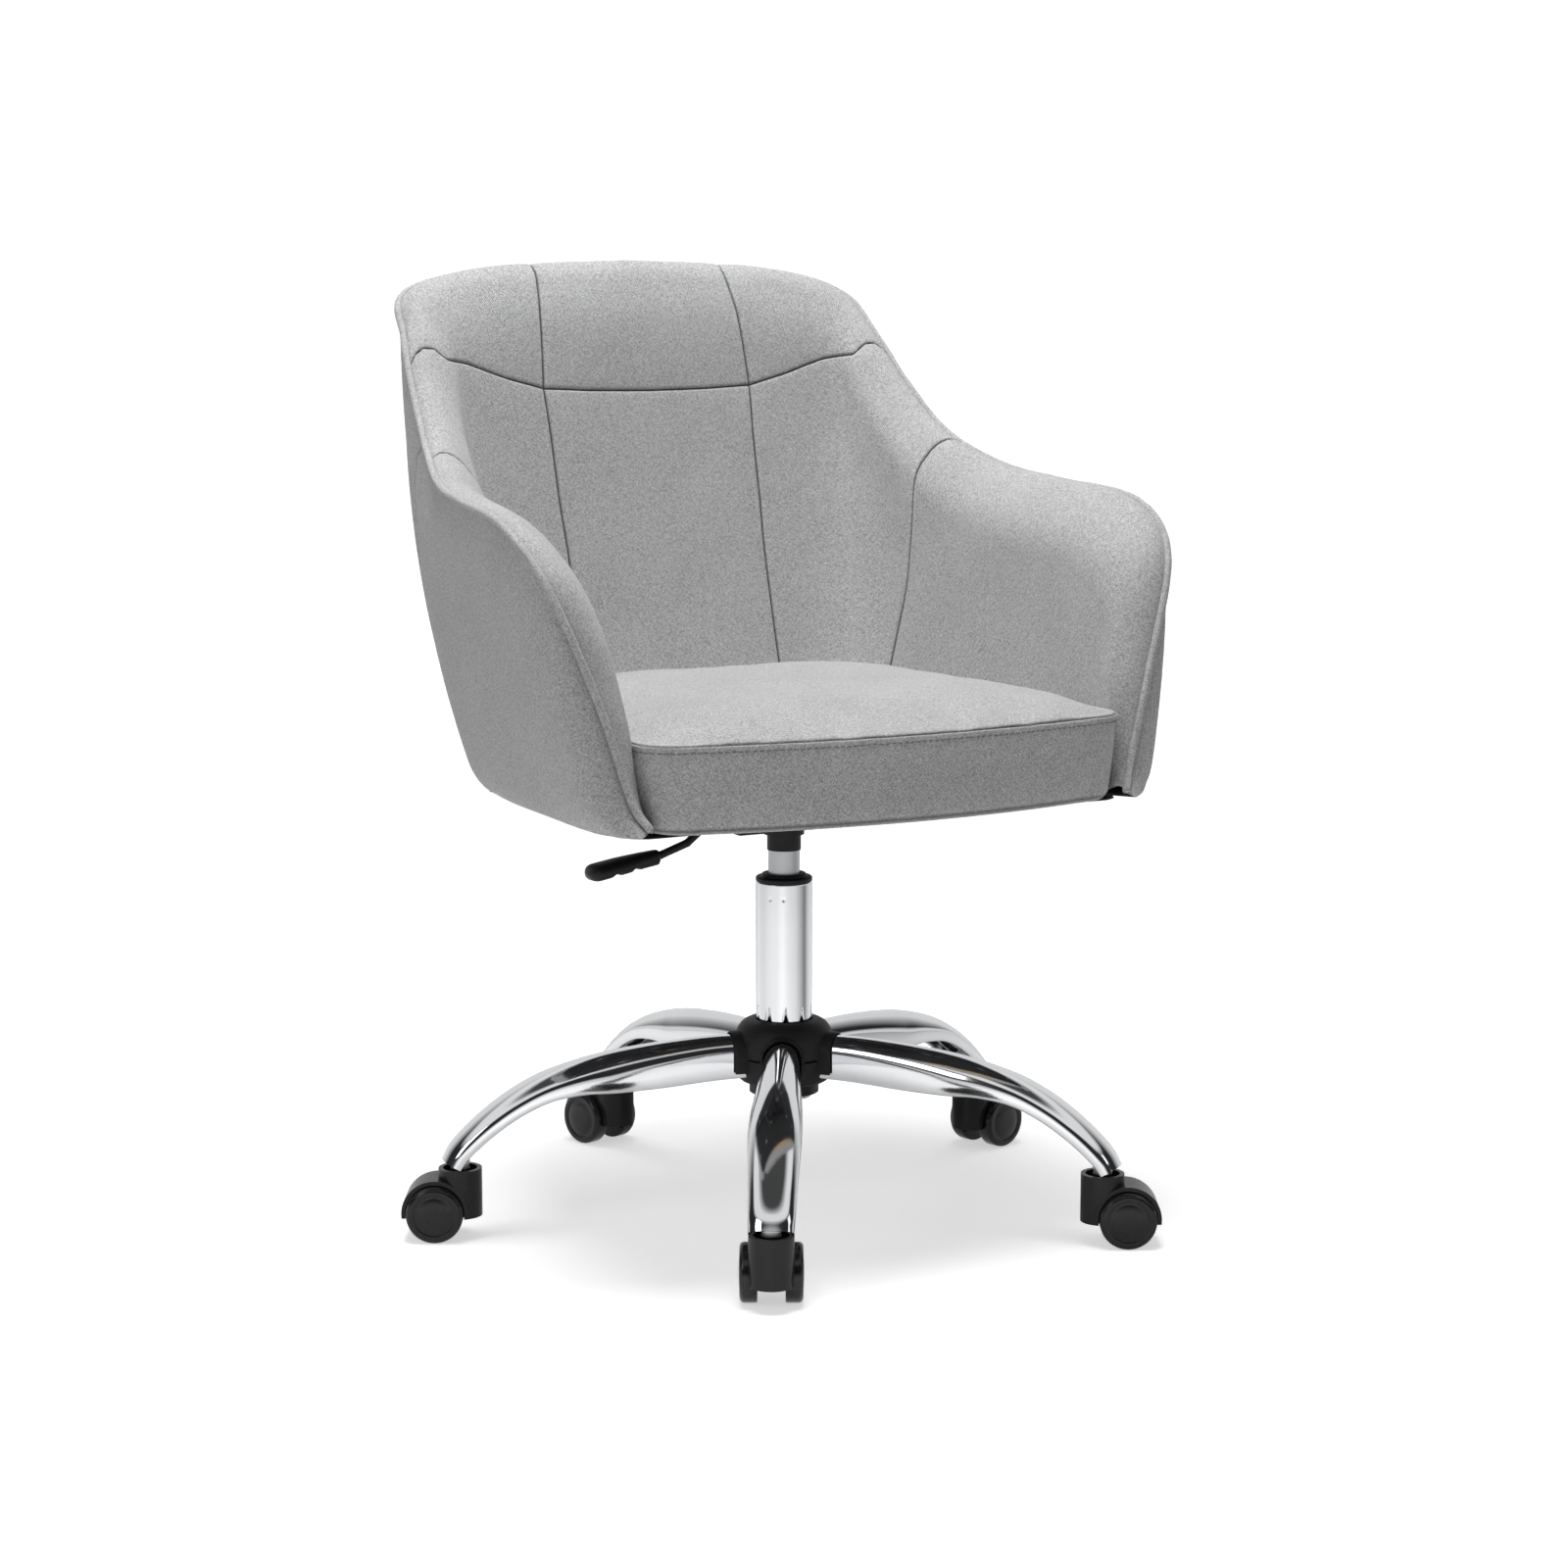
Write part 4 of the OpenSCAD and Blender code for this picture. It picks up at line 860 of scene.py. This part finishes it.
def yoke_share(u):
    """The s of the yoke seam at u."""
    u = np.abs(np.atleast_1d(u))
    inside = np.minimum(u, YOKE_TURN)
    lo, hi = np.full(len(u), CROWN_SHARE), np.full(len(u), 0.8)
    for _ in range(40):
        mid = (lo + hi) / 2
        p = lining(inside, mid)
        above = p[:, 2] > yoke_height(p[:, 0])
        lo, hi = np.where(above, mid, lo), np.where(above, hi, mid)
    s = (lo + hi) / 2
    climb = np.clip((u - YOKE_TURN) / (YOKE_END - YOKE_TURN), 0, 1)
    return s * (1 - climb) * (1 - 0.25 * climb)


GRID_S = np.linspace(0, 1, 161)
UPPER_U = solve_u(GRID_S, lambda z: np.interp(z, [0.731, 0.795, 0.836], [0.107, 0.103, 0.098]))
LOWER_U = solve_u(GRID_S, lambda z: np.interp(z, [0.470, 0.585, 0.625, 0.685, 0.731],
                                              [0.100, 0.102, 0.104, 0.105, 0.107]))
ARM_U = np.interp(GRID_S, [0, CROWN_SHARE, 0.35, 0.57, 0.83, 1],
                  np.array([5.3, 5.08, 4.75, 4.3, 3.4, 2.9]) / STATIONS)
ARM_U = np.convolve(np.pad(ARM_U, 12, mode="reflect", reflect_type="odd"), np.ones(25) / 25, "valid")
YOKE_U = np.linspace(0, YOKE_END, 161)
YOKE_S = yoke_share(YOKE_U)


def travelled(points, axis=0):
    """Length run along a line or a grid of points, up to each of them."""
    steps = np.cumsum(np.linalg.norm(np.diff(points, axis=axis), axis=-1), axis)
    return np.concatenate([np.zeros_like(steps.take([0], axis)), steps], axis)


def panel_rows(count, length, edge=0.016):
    """Shares of a length, crowded near both ends."""
    near = np.array([0, 0.0004, 0.0009, 0.0016, 0.0025, 0.0038, 0.0056, 0.008, 0.0115, edge]) / length
    middle = np.linspace(edge / length, 1 - edge / length, count)[1:-1]
    return np.concatenate([near, middle, 1 - near[::-1]])


def panel_patch(u_left, u_right, s_top, s_bottom, wide, tall, seams=(True, True, True, True), cell=0.0075):
    """Grid of lining points of a panel, pressed into its seams, and how much painted seam shadow each point
    takes.

    The borders are functions: u_left(s), u_right(s), s_top(u), s_bottom(u). Wide and tall
    are the panel's rough size. Seams says which of left, right, top and bottom are sewn.
    """
    a = panel_rows(max(4, int(wide / cell)), wide)
    b = panel_rows(max(4, int(tall / cell)), tall)
    B, A = np.meshgrid(b, a, indexing="ij")
    s = B.copy()
    for _ in range(30):
        u = u_left(s) * (1 - A) + u_right(s) * A
        s = s_top(u) * (1 - B) + s_bottom(u) * B
    flat = lining(u, s).reshape(len(b), len(a), 3)
    step = 1e-4
    du = lining(np.clip(u + step, -1, 1), s) - lining(np.clip(u - step, -1, 1), s)
    ds = lining(u, np.clip(s + step, 0, 1)) - lining(u, np.clip(s - step, 0, 1))
    normal = np.cross(du, ds)
    length = np.linalg.norm(normal, axis=1)[:, None]
    normal = (normal / np.maximum(length, 1e-12)).reshape(flat.shape)
    along, down = travelled(flat, 1), travelled(flat, 0)
    far = 1.0
    reach = [along if seams[0] else far, along[:, -1:] - along if seams[1] else far,
             down if seams[2] else far, down[-1:] - down if seams[3] else far]
    offset, shade = np.zeros(B.shape), np.zeros(B.shape)
    for d in reach:
        d = np.broadcast_to(d, B.shape)
        # Painted seam shadow, darkest on the seam line and gone about a millimetre from it.
        shade = np.maximum(shade, SEAM_SHADOW_DARKNESS * np.exp(-((d / SEAM_SHADOW_DARKNESS_WIDTH) ** 2)))
        offset += -SEAM_DIVE * np.exp(-d / SEAM_DIVE_WIDTH) - SEAM_PULL * np.exp(-d / SEAM_PULL_WIDTH)
    offset = np.maximum(offset, -SEAM_DEEPEST) + FOAM_SWELL
    return flat - normal * offset[:, :, None] * panel_side(flat, normal), shade


def panel_side(flat, normal):
    """1 or -1, so that an offset lifts the cloth towards the sitter and upwards."""
    centre = np.array([0, -0.02, 0.62])
    toward = centre - flat.reshape(-1, 3).mean(0)
    return -1.0 if (normal.reshape(-1, 3) * toward).sum(1).mean() > 0 else 1.0


at_s = lambda values: (lambda s: np.interp(np.asarray(s), GRID_S, values))
upper_side, lower_side, arm_side = at_s(UPPER_U), at_s(LOWER_U), at_s(ARM_U)
yoke_line = lambda u: np.interp(np.abs(u), YOKE_U, YOKE_S)
piping_line = lambda u: np.zeros_like(np.asarray(u, float))
seat_line = lambda u: np.ones_like(np.asarray(u, float))
yoke_end = lambda s: np.full_like(np.asarray(s, float), YOKE_END)
arm_front = lambda s: np.ones_like(np.asarray(s, float))
minus = lambda line: (lambda s: -line(s))
panels = [
    panel_patch(minus(upper_side), upper_side, piping_line, yoke_line, 0.21, 0.14, (True, True, True, True)),
    panel_patch(minus(lower_side), lower_side, yoke_line, seat_line, 0.21, 0.34, (True, True, True, False))]
for mirror in (False, True):
    for left, right, top, bottom, wide, tall, sewn in (
            (upper_side, yoke_end, piping_line, yoke_line, 0.20, 0.11, (True, False, True, True)),
            (lower_side, arm_side, yoke_line, seat_line, 0.26, 0.36, (True, True, True, False)),
            (arm_side, arm_front, piping_line, seat_line, 0.42, 0.30, (True, False, True, False))):
        if mirror:
            left, right, sewn = minus(right), minus(left), (sewn[1], sewn[0], sewn[2], sewn[3])
        panels.append(panel_patch(left, right, top, bottom, wide, tall, sewn))
pad_verts, pad_faces, pad_seam_shadows = [], [], []
for points, shade in panels:
    rows, cols = points.shape[:2]
    pad_seam_shadows += list(shade.ravel())
    pad_faces += grid_faces(rows, cols, start=len(pad_verts))
    pad_verts += list(points.reshape(-1, 3))
lining_cover = new_piece("tub_lining", pad_verts, pad_faces, grey_fabric, "seat")
paint_seam_shadows(lining_cover.data, pad_verts, pad_seam_shadows)
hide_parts("tub_pad")


# ---- outer cover ----
# Three fabric panels over the outside of the shell, sewn to the lining with piping in the
# seam. At the foot the cloth turns round a soft edge and is stapled underneath.
EDGE_ROUND = 0.022
EDGE_INWARDS = 0.45
STAPLED_STRIP = 0.034


def rim_height(u):
    """Height of the rim over the underside at u."""
    return np.interp(np.abs(u), np.linspace(0, 1, STATIONS + 1), [p[2] for p in RIM]) / 1000


def outer_patch(u_left, u_right, wide, seams):
    """Grid of points of an outer panel, from the piping down and round the foot."""
    a = panel_rows(max(4, int(wide / 0.009)), wide)
    depth = np.concatenate([[0, 0.002, 0.004, 0.008], np.linspace(0.014, 1, 44)])
    turn = np.linspace(0, math.pi / 2, 9)[1:]
    rows = []
    for d in depth:
        s = np.full_like(a, d)
        u = u_left(s) * (1 - a) + u_right(s) * a
        height = rim_height(u)
        r = np.minimum(EDGE_ROUND, height * 0.45)
        rows.append(face_point(u, d * (1 - r / height), RIM, FOOT, OUT_BOW))
    out = way_out(u)
    for q in turn:
        p = face_point(u, 1 - r * (1 - math.sin(q)) / height, RIM, FOOT, OUT_BOW)
        rows.append(p - out * (r * EDGE_INWARDS * (1 - math.cos(q)))[:, None])
    rows.append(rows[-1] - out * STAPLED_STRIP + np.array([0, 0, 0.0004]))
    grid = np.array(rows)
    normal = np.cross(np.gradient(grid, axis=1), np.gradient(grid, axis=0))
    normal /= np.maximum(np.linalg.norm(normal, axis=2), 1e-12)[:, :, None]
    outward = np.array([grid[20, :, 0].mean(), grid[20, :, 1].mean(), 0])
    if (normal[20] * outward).sum() < 0:
        normal = -normal
    along, from_piping = travelled(grid, 1), travelled(grid, 0)
    offset = np.zeros(along.shape)
    for sewn, d in zip(seams, (along, along[:, -1:] - along)):
        if sewn:
            offset += -0.0036 * np.exp(-d / 0.0009) - 0.0009 * np.exp(-d / 0.010)
    offset += -0.0040 * np.exp(-from_piping / 0.0012) - 0.0010 * np.exp(-from_piping / 0.008)
    fade = np.ones(len(grid))
    fade[-2:] = 0
    return grid + normal * (np.maximum(offset, -0.0046) * fade[:, None])[:, :, None]


outer_seam = lambda s: np.interp(np.asarray(s), [0, 0.07, 0.15, 0.3, 0.5, 1],
                                 np.array([5.0, 4.55, 4.2, 3.85, 3.6, 3.3]) / STATIONS)
outer_verts, outer_faces = [], []
for left, right, wide, sewn in ((minus(outer_seam), outer_seam, 0.66, (True, True)),
                                (outer_seam, arm_front, 0.42, (True, False)),
                                (minus(arm_front), minus(outer_seam), 0.42, (False, True))):
    points = outer_patch(left, right, wide, sewn)
    rows, cols = points.shape[:2]
    outer_faces += grid_faces(rows, cols, start=len(outer_verts))
    outer_verts += list(points.reshape(-1, 3))
shell_rows, shell_cols = 61, 12
shell_u = np.repeat(np.linspace(-0.97, 0.97, shell_rows), shell_cols)
shell_v = np.tile(np.linspace(0.08, 1, shell_cols), shell_rows)
shell_v = shell_v * np.maximum(1 - 0.030 / rim_height(shell_u), 0.3)
outside = face_point(shell_u, shell_v, RIM, FOOT, OUT_BOW)
inside = face_point(shell_u, shell_v, INNER_RIM, INNER_FOOT, IN_BOW)
shell_verts = np.concatenate([outside * 0.88 + inside * 0.12, outside * 0.72 + inside * 0.28])
shell_faces = grid_faces(shell_rows, shell_cols) + grid_faces(shell_rows, shell_cols, start=len(outside))
shell_board = new_piece("tub_shell_moulding", shell_verts, shell_faces, plywood, "seat")
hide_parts("tub_shell")
outer_panels = new_piece("tub_outer_panels", outer_verts, outer_faces, grey_fabric, "seat")
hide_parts("outer_cover")


# ---- piping ----
# A cord wrapped in bias-cut fabric, sewn into the rim seam from one arm's foot round the
# top of the back to the other.
PIPING_R = 0.0033


def tube(path, radius, sides=10):
    """Round bar swept along a path of points."""
    p = np.asarray(path, float)
    run = np.gradient(p, axis=0)
    run /= np.linalg.norm(run, axis=1)[:, None]
    side = np.cross(run[0], (0.0, 0.0, 1.0))
    if np.linalg.norm(side) < 1e-3:
        side = np.cross(run[0], (0.0, 1.0, 0.0))
    verts = []
    for point, way, r in zip(p, run, np.broadcast_to(radius, (len(p),))):
        side = side - way * side.dot(way)
        side /= np.linalg.norm(side)
        other = np.cross(way, side)
        verts += [point + r * (side * math.cos(a) + other * math.sin(a))
                  for a in np.linspace(0, 2 * math.pi, sides, endpoint=False)]
    faces = grid_faces(len(p), sides, wrap_cols=True)
    faces += [tuple(range(sides)), tuple(range((len(p) - 1) * sides, len(p) * sides))]
    return verts, faces


run = np.linspace(-1, 1, 361)
along = on_tub(RIM, np.minimum(run + 0.02, 1)) - on_tub(RIM, np.maximum(run - 0.02, -1))
down = face_point(run, np.full_like(run, 0.04), RIM, FOOT, OUT_BOW) - on_tub(RIM, run)
rim_out = np.cross(along, down)
rim_out /= np.linalg.norm(rim_out, axis=1)[:, None]
piping_path = on_tub(RIM, run) + rim_out * (PIPING_R * 0.5)
ripple = 1 + 0.05 * np.sin(run * 190) * np.cos(run * 77)
verts, faces = tube(piping_path, PIPING_R * ripple, 14)
piping = new_piece("rim_piping", verts, faces, grey_fabric, "seat")
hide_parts("welt")


# ---- seat cushion ----
# A box cushion of foam in the same fabric: top panel, side band and bottom panel sewn
# round the edge, with a topstitch below the upper seam. Air pressure fills the cover in a
# cloth simulation, with the seams held, so it swells and puckers as sewn covers do.
CUSHION_FOOT = 0.3895
CUSHION_SEAM = 0.462
CUSHION_TOP = 0.478
CUSHION_FRONT = 0.208
CUSHION_RINGS = 34


def cushion_outline(height, count):
    """Points round the cushion at a height, evenly spaced."""
    u = np.linspace(-9.2 / STATIONS, 9.2 / STATIONS, 181)
    a, b = on_tub(INNER_RIM, u), on_tub(INNER_FOOT, u)
    v = (a[:, 2] - height) / (a[:, 2] - b[:, 2])
    p = (face_point(u, v, INNER_RIM, INNER_FOOT, IN_BOW) - way_out(u) * 0.001)[:, :2]
    side, corner, bow = abs(p[0, 0]), 0.034, 0.024
    q = np.linspace(0, math.pi / 2, 16)
    right = np.stack([side - corner * (1 - np.cos(q)), -CUSHION_FRONT + corner * (1 - np.sin(q))], 1)
    t = np.linspace(1, -1, 41)[1:-1]
    front = np.stack([(side - corner) * t, -CUSHION_FRONT - bow * (1 - t * t)], 1)
    left = right[::-1] * np.array([-1, 1])
    loop = np.concatenate([p, right, front, left])
    loop = np.concatenate([loop, loop[:1]])
    travel = travelled(loop)
    spots = np.linspace(0, travel[-1], count, endpoint=False)
    return np.stack([np.interp(spots, travel, loop[:, 0]), np.interp(spots, travel, loop[:, 1])], 1)


edge_count = 8 * CUSHION_RINGS
seam_line = cushion_outline(CUSHION_SEAM, edge_count)
middle = np.array([0, -0.02])
cushion_verts, ring_start = [(*middle, CUSHION_TOP)], [0]
for ring in range(1, CUSHION_RINGS + 1):
    share = ring / CUSHION_RINGS if ring < CUSHION_RINGS else 0.991
    spots = np.arange(8 * ring) * edge_count / (8 * ring)
    low = np.floor(spots).astype(int) % edge_count
    part = (spots - np.floor(spots))[:, None]
    points = seam_line[low] * (1 - part) + seam_line[(low + 1) % edge_count] * part
    ring_start.append(len(cushion_verts))
    rise = (CUSHION_TOP - CUSHION_SEAM) * (1 - share**4.5)
    cushion_verts += [(x, y, CUSHION_SEAM + rise) for x, y in middle + (points - middle) * share]
cushion_faces = []
for ring in range(1, CUSHION_RINGS + 1):
    inner, outer = ring_start[ring - 1], ring_start[ring]
    n_in, n_out = max(8 * (ring - 1), 1), 8 * ring
    side = 2 * ring
    for corner in range(4):
        for k in range(side):
            a = corner * side + k
            if ring == 1:
                if k == 0:
                    cushion_faces.append((0, outer + a, outer + (a + 1) % n_out, outer + (a + 2) % n_out))
            elif k == 0:
                before = (a - 1) % n_out
                cushion_faces.append((outer + before, outer + a, outer + (a + 1) % n_out,
                                      inner + (corner * (side - 2)) % n_in))
            elif k < side - 1:
                b = corner * (side - 2) + k - 1
                cushion_faces.append((outer + a, outer + (a + 1) % n_out,
                                      inner + (b + 1) % n_in, inner + b % n_in))


def ring_faces(upper, lower):
    """Faces between two rings of points round the cushion."""
    return [(upper + k, lower + k, lower + (k + 1) % edge_count, upper + (k + 1) % edge_count)
            for k in range(edge_count)]


band_rows = [ring_start[-1]]
for drop in (0, 0.0012, 0.0032, 0.0065, 0.0110, 0.018, 0.026, 0.034, 0.042, 0.050, 0.058, 0.0635, 0.068,
             0.0708):
    z = CUSHION_SEAM - drop
    line = cushion_outline(z, edge_count)
    band_rows.append(len(cushion_verts))
    cushion_verts += [(x, y, z) for x, y in line]
for upper, lower in zip(band_rows, band_rows[1:]):
    cushion_faces += ring_faces(upper, lower)
last = band_rows[-1]
foot_line = cushion_outline(CUSHION_FOOT + 0.0015, edge_count)
for share, height in ((0.985, -0.0021), (0.96, -0.0023), (0.84, -0.0023), (0.835, 0.0008), (0.45, 0.0008)):
    ring = len(cushion_verts)
    cushion_verts += [(*(middle + (p - middle) * share), CUSHION_FOOT + height) for p in foot_line]
    cushion_faces += ring_faces(ring - edge_count, ring)
cushion_verts.append((*middle, CUSHION_FOOT + 0.0008))
cushion_faces += [(ring + k, len(cushion_verts) - 1, ring + (k + 1) % edge_count) for k in range(edge_count)]
cushion_mesh = bpy.data.meshes.new("seat_cushion_cover")
cushion_mesh.from_pydata([tuple(map(float, v)) for v in cushion_verts], [], cushion_faces)
cushion_mesh.materials.append(grey_fabric)
cushion_mesh.update()
cushion = bpy.data.objects.new("seat_cushion_cover", cushion_mesh)
bpy.context.scene.collection.objects.link(cushion)
top_seam = list(range(band_rows[1], band_rows[2]))
held = cushion.vertex_groups.new(name="held")
held.add(top_seam + list(range(last, len(cushion_verts))), 1.0, "REPLACE")
held.add(list(range(band_rows[2], band_rows[3])) + list(range(band_rows[0], band_rows[1])), 0.35, "REPLACE")


def fill_with_air(piece, pressure, frames, most):
    """Blows up a cover with its held points in place, and keeps the shape it takes."""
    before = np.array([v.co for v in piece.data.vertices])
    cloth = piece.modifiers.new("air", "CLOTH")
    setup = cloth.settings
    setup.quality = 6
    setup.mass = 0.25
    setup.tension_stiffness = 22
    setup.compression_stiffness = 14
    setup.shear_stiffness = 8
    setup.bending_stiffness = 3.0
    setup.air_damping = 6
    setup.effector_weights.gravity = 0
    setup.vertex_group_mass = "held"
    setup.pin_stiffness = 4
    setup.shrink_min = -0.008
    setup.use_pressure = True
    setup.uniform_pressure_force = pressure
    cloth.point_cache.frame_start = 1
    cloth.point_cache.frame_end = frames
    for number in range(1, frames + 1):
        bpy.context.scene.frame_set(number)
    shape = piece.evaluated_get(bpy.context.evaluated_depsgraph_get())
    after = np.array([v.co for v in shape.data.vertices])
    piece.modifiers.remove(cloth)
    bpy.context.scene.frame_set(1)
    shift = after - before
    size = np.linalg.norm(shift, axis=1)[:, None]
    shift *= np.minimum(1, most / np.maximum(size, 1e-9))
    if not np.isfinite(shift).all():
        return 0.0
    piece.data.vertices.foreach_set("co", (before + shift).ravel())
    piece.data.update()
    return float(size.max())


smooth = bmesh.new()
smooth.from_mesh(cushion_mesh)
bmesh.ops.recalc_face_normals(smooth, faces=smooth.faces)
smooth.verts.ensure_lookup_table()
inner_top = [smooth.verts[k] for k in range(band_rows[0])]
for _ in range(6):
    bmesh.ops.smooth_vert(smooth, verts=inner_top, factor=0.5,
                          use_axis_x=True, use_axis_y=True, use_axis_z=False)
smooth.to_mesh(cushion_mesh)
smooth.free()
swell = fill_with_air(cushion, pressure=2.2, frames=22, most=0.007)
print("cushion cover moved", round(swell, 4))
cushion_mesh.polygons.foreach_set("use_smooth", [True] * len(cushion_mesh.polygons))
press = np.array([v.co for v in cushion_mesh.vertices])
normals = np.array([v.normal for v in cushion_mesh.vertices])
press[top_seam] -= normals[top_seam] * 0.0034
seam_low = list(range(last, last + edge_count))
press[seam_low] -= normals[seam_low] * 0.0012
cushion_mesh.vertices.foreach_set("co", press.ravel())
# Painted shadow darkens the cover along its upper seam and the seam round its foot.
paint_seam_shadows(cushion_mesh, press, np.isin(np.arange(len(press)), top_seam + seam_low) * 0.75)
cushion_mesh.update()
sewn = set(top_seam)
crease = cushion_mesh.attributes.new("crease_edge", "FLOAT", "EDGE")
for edge in cushion_mesh.edges:
    crease.data[edge.index].value = 0.9 if sewn.issuperset(edge.vertices) else 0.0
soften = cushion.modifiers.new("soften", "SUBSURF")
soften.levels = 1
soften.render_levels = 1
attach(cushion, "seat")
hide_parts("seat_cushion")

# The topstitch is a row of short grey threads that sink a little into the band.
STITCH_DROP, STITCH_LENGTH, STITCH_PITCH, THREAD_R = 0.0065, 0.0042, 0.0058, 0.00042
thread = hard_finish("polyester_thread", (0.10, 0.10, 0.103), (0.16, 0.16, 0.163), 0.5, 0.65,
                     bump=0.1, grain=3000)
skin = BVHTree.FromObject(cushion, bpy.context.evaluated_depsgraph_get())
stitch_line = cushion_outline(CUSHION_SEAM - STITCH_DROP, 2400)
stitch_line = np.array([p for p in stitch_line if p[1] < -0.15])
stitch_line = stitch_line[np.argsort(np.arctan2(stitch_line[:, 0], -(stitch_line[:, 1] + 0.1)))]
travel = travelled(stitch_line)
stitch_verts, stitch_faces = [], []
for start in np.arange(0.002, travel[-1] - 0.006, STITCH_PITCH):
    path = []
    for part in np.linspace(0, 1, 6):
        spot = start + STITCH_LENGTH * part
        x, y = np.interp(spot, travel, stitch_line[:, 0]), np.interp(spot, travel, stitch_line[:, 1])
        away = Vector((x, y + 0.12, 0)).normalized()
        hit = skin.ray_cast(Vector((x, y, CUSHION_SEAM - STITCH_DROP)) + away * 0.03, -away, 0.06)
        if hit[0] is None:
            continue
        sink = 0.0004 - 0.0008 * (2 * part - 1) ** 4
        path.append(hit[0] + hit[1] * sink)
    if len(path) == 6:
        verts, faces = tube(path, THREAD_R, 6)
        stitch_faces += [tuple(len(stitch_verts) + k for k in f) for f in faces]
        stitch_verts += verts
stitches = new_piece("cushion_topstitch", stitch_verts, stitch_faces, thread, "seat")


# ---- dust cover ----
# A sheet of thin black woven cloth is stapled under the tub to close it off, with an
# opening cut round the mechanism.
dust_cloth = cloth_finish("dust_cover_cloth", (0.012, 0.012, 0.013), (0.035, 0.035, 0.037),
                          yarns=700, contrast=0.8, bump=0.4, sheen=0.05)
paint("dust_cover", dust_cloth)
